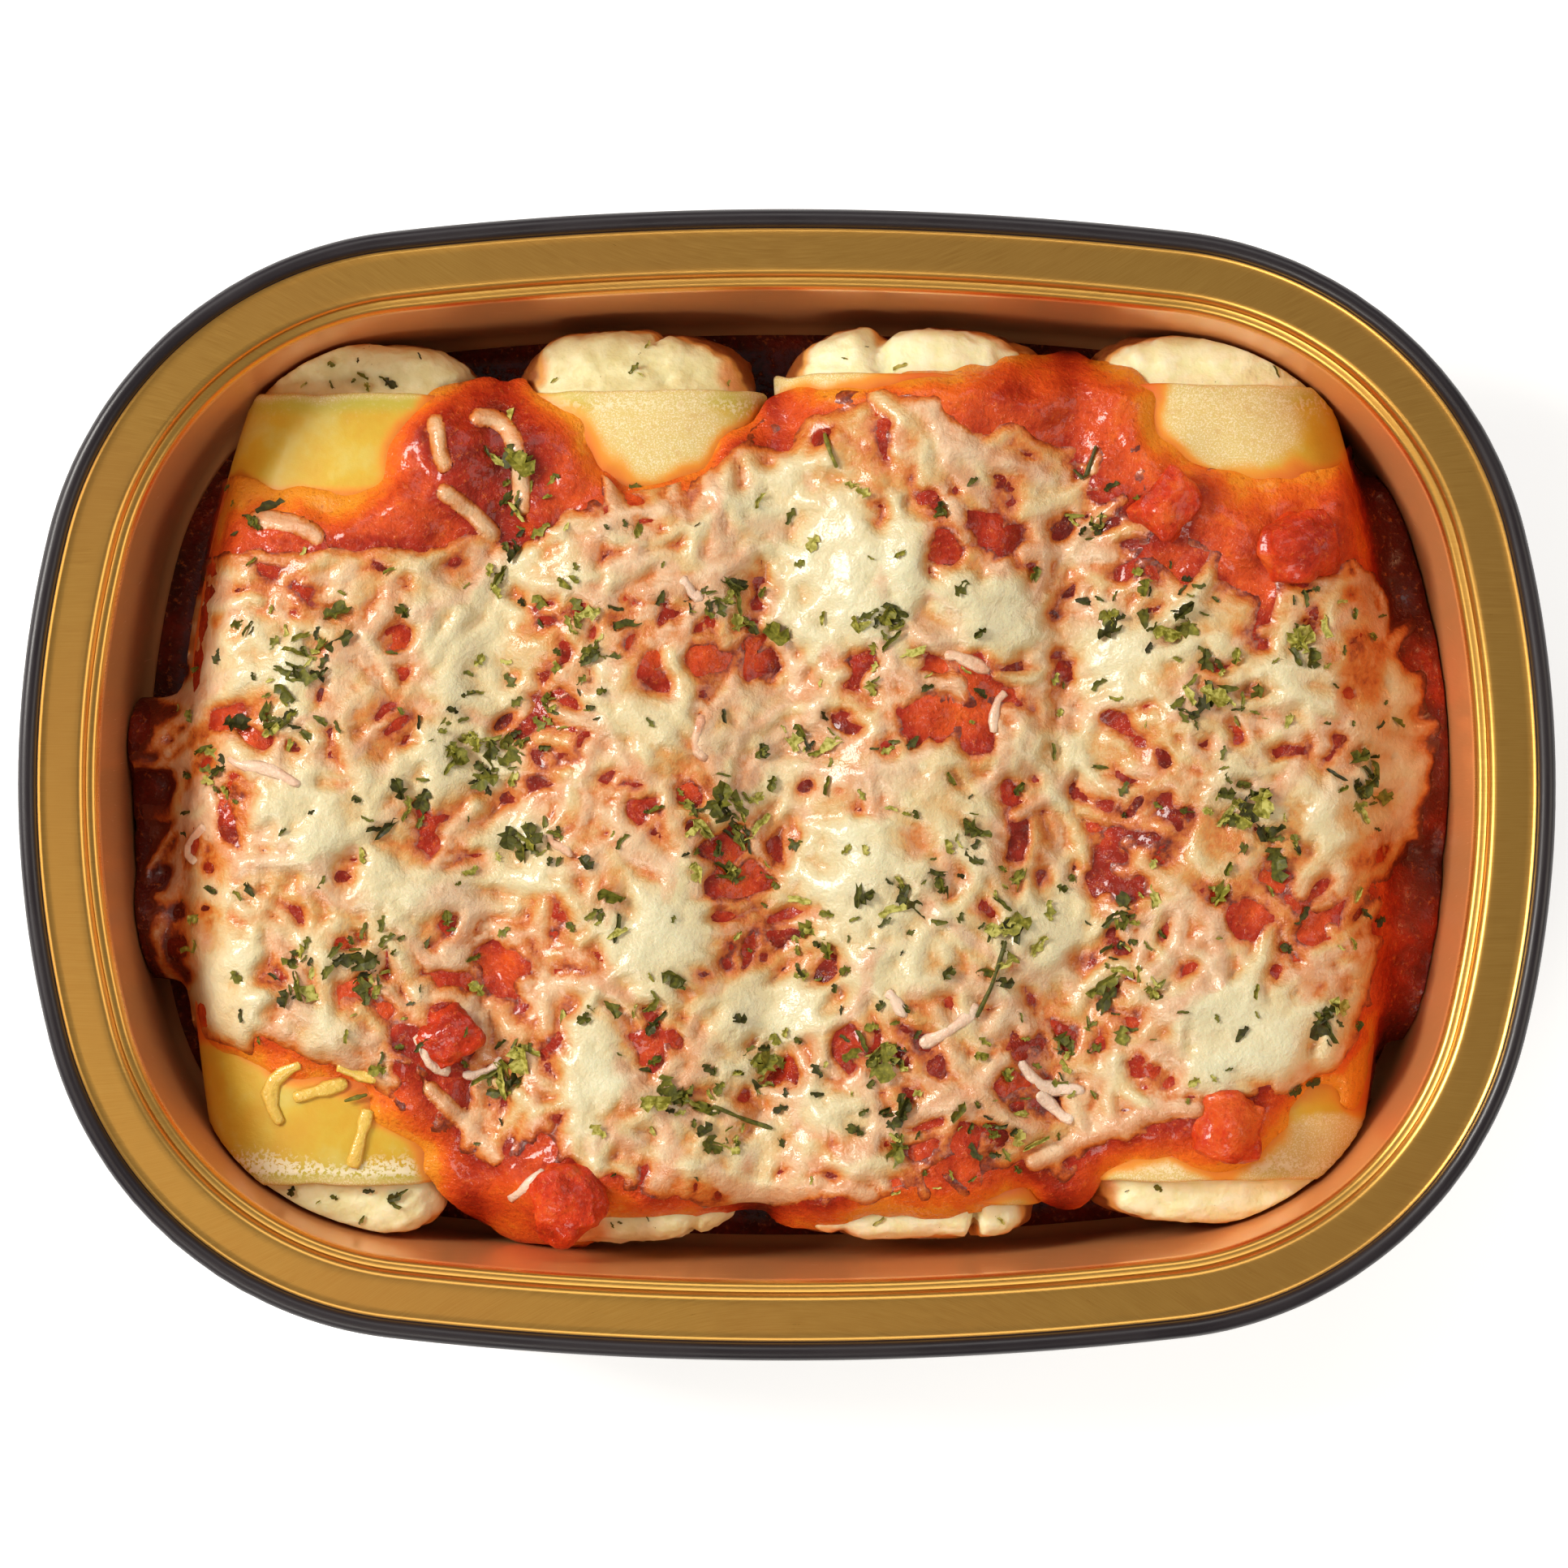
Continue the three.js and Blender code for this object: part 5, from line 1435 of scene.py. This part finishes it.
def mozzarella(name, melted=False):
    """Fatty, glossy cheese. Melted, it is coloured by its thickness and by the sauce below."""
    finish = Finish(name, Subsurface_Weight=0.2, Subsurface_Scale=MM,
                    Subsurface_Radius=(0.9, 0.45, 0.25), Coat_Weight=0.5, Coat_Roughness=0.11)
    milky = finish.noise(190.0, 4.0, 0.65)
    fat = finish.noise(900.0, 3.0, 0.6)
    fine = finish.noise(2400.0, 2.0)
    milkiness = finish.painted("milkiness")
    rosy = finish.blend(finish.ranged(milky, 0.35, 0.65), (206, 137, 98), (226, 188, 154))
    if melted:
        grain = finish.plus(finish.times(milky, 0.9), finish.times(fat, 0.7))
        amount = finish.plus(finish.painted("film"), finish.less(grain, 0.8))
        tone = finish.ramp(
            finish.add("MapRange", {"Value": amount, "From Min": FILM_LOW, "From Max": FILM_HIGH}),
            [((place - FILM_LOW) / (FILM_HIGH - FILM_LOW), *shade)
             for place, *shade in CHEESE_STOPS])
        pink = finish.less(finish.ranged(milkiness, 0.8, 0.2), finish.painted("cream"), clamp=True)
        tone = finish.blend(finish.times(pink, finish.ranged(amount, 0.3, 0.7, 0, 0.7)), tone, rosy)
    else:
        tone = finish.blend(milkiness, rosy, (232, 208, 186))
        tone = finish.blend(finish.painted("yellowed"), tone, (218, 182, 76))
    finish.shade(Base_Color=tone, Roughness=finish.ranged(milky, 0.2, 0.8, 0.34, 0.5),
                 Normal=finish.bumps((fat, 0.4, 0.8), (fine, 0.1, 0.8)),
                 Coat_Normal=finish.bumps((fat, 0.12, 0.8), (fine, 0.03, 0.7)))
    return finish


add_piece("melted_mozzarella_skin", cheese_mesh, [mozzarella("melted_mozzarella", True)], "cheese",
          "mozzarella")
add_piece("mozzarella_shreds", shred_mesh, [mozzarella("shredded_mozzarella")], "cheese",
          "mozzarella")

# %% Herbs
herbs = Finish("dried_herbs", Roughness=0.6, Coat_Weight=0.05, Coat_Roughness=0.25,
               Specular_IOR_Level=0.3)
vein = herbs.noise(1300.0)
shade = herbs.plus(herbs.painted("tone"), herbs.times(herbs.less(vein, 0.5), 1.1))
herbs.shade(Base_Color=herbs.ramp(shade, [(0.0, 48, 45, 8), (0.3, 76, 76, 16), (0.6, 106, 103, 25),
                                          (0.85, 142, 135, 44), (1.0, 186, 178, 92)]),
            Normal=herbs.bumps((vein, 0.12, 0.7)))
add_piece("dried_herbs", herb_mesh, [herbs], "cheese", "mozzarella", smooth=False)

# %% [markdown]
# ## Floor, light and camera
# The tray stands on a plain, nearly white floor. A large soft light low on the left gives the wet
# sauce and the cheese their highlights and leaves the tray's left wall in shade. A weaker, warmer
# one fills from the right, wide ones lift it from behind and in front, and a small one high up
# glows on the flange.

# %% Floor
FLOOR_SIZE = 4.0
ground = bmesh.new()
bmesh.ops.create_grid(ground, x_segments=4, y_segments=4, size=FLOOR_SIZE / 2)
floor = linked("floor", meshed(ground, "floor"))
paper = Finish("pale_floor", Roughness=0.9, Emission_Color=(1, 1, 1, 1), Emission_Strength=0.55)
paper.shade(Base_Color=paper.blend(paper.noise(3.0, 2.0), [0.86, 0.86, 0.86, 1],
                                   [0.9, 0.9, 0.9, 1]))
floor.data.materials.append(paper.material)
print("floor:", FLOOR_SIZE, "m wide")

# %% Lights


def softbox(name, place, size, watts, tint):
    """A rectangular light, turned to face the food, in metres."""
    lamp = bpy.data.lights.new(name, "AREA")
    lamp.shape = "RECTANGLE"
    lamp.size, lamp.size_y = size
    lamp.energy = watts
    lamp.color = tint
    holder = linked(name, lamp)
    holder.location = place
    holder.rotation_euler = (FOOD - Vector(place)).to_track_quat("-Z", "Y").to_euler()
    print(f"{name}: {watts} W")


FOOD = Vector((0.0, 0.0, 0.03))
softbox("key_from_the_left", (-0.85, 0.3, 0.78), (0.4, 0.35), 12.5, (1.0, 0.96, 0.9))
softbox("fill_from_the_right", (1.0, -0.1, 0.75), (0.8, 0.6), 3.4, (1.0, 0.9, 0.78))
softbox("soft_from_behind", (0.1, 1.0, 1.1), (1.2, 0.6), 4.5, (1.0, 0.97, 0.92))
softbox("soft_from_the_front", (-0.4, -0.85, 0.95), (0.5, 0.5), 4.8, (1.0, 0.95, 0.86))
softbox("glow_on_the_flange", (-0.33, -0.27, 1.42), (0.3, 0.3), 0.65, (1.0, 0.82, 0.6))

world = bpy.data.worlds.new("studio")
world.use_nodes = True
sky = world.node_tree.nodes["Background"].inputs
sky["Color"].default_value = (1.0, 0.98, 0.95, 1.0)
sky["Strength"].default_value = 0.22
bpy.context.scene.world = world
bpy.context.scene.view_settings.view_transform = "Standard"

# %% Camera
CAMERA_PLACE = (-0.00042, 0.00012, 1.5)
VIEW_ACROSS = 0.229393
camera = linked("camera", bpy.data.cameras.new("camera"))
camera.location = CAMERA_PLACE
to_bead = CAMERA_PLACE[2] - (TRAY_HEIGHT - BEAD_RADIUS) * MM
camera.data.sensor_width = 36.0
camera.data.lens = camera.data.sensor_width * to_bead / VIEW_ACROSS
bpy.context.scene.camera = camera
print("lens:", round(camera.data.lens, 1), "mm")
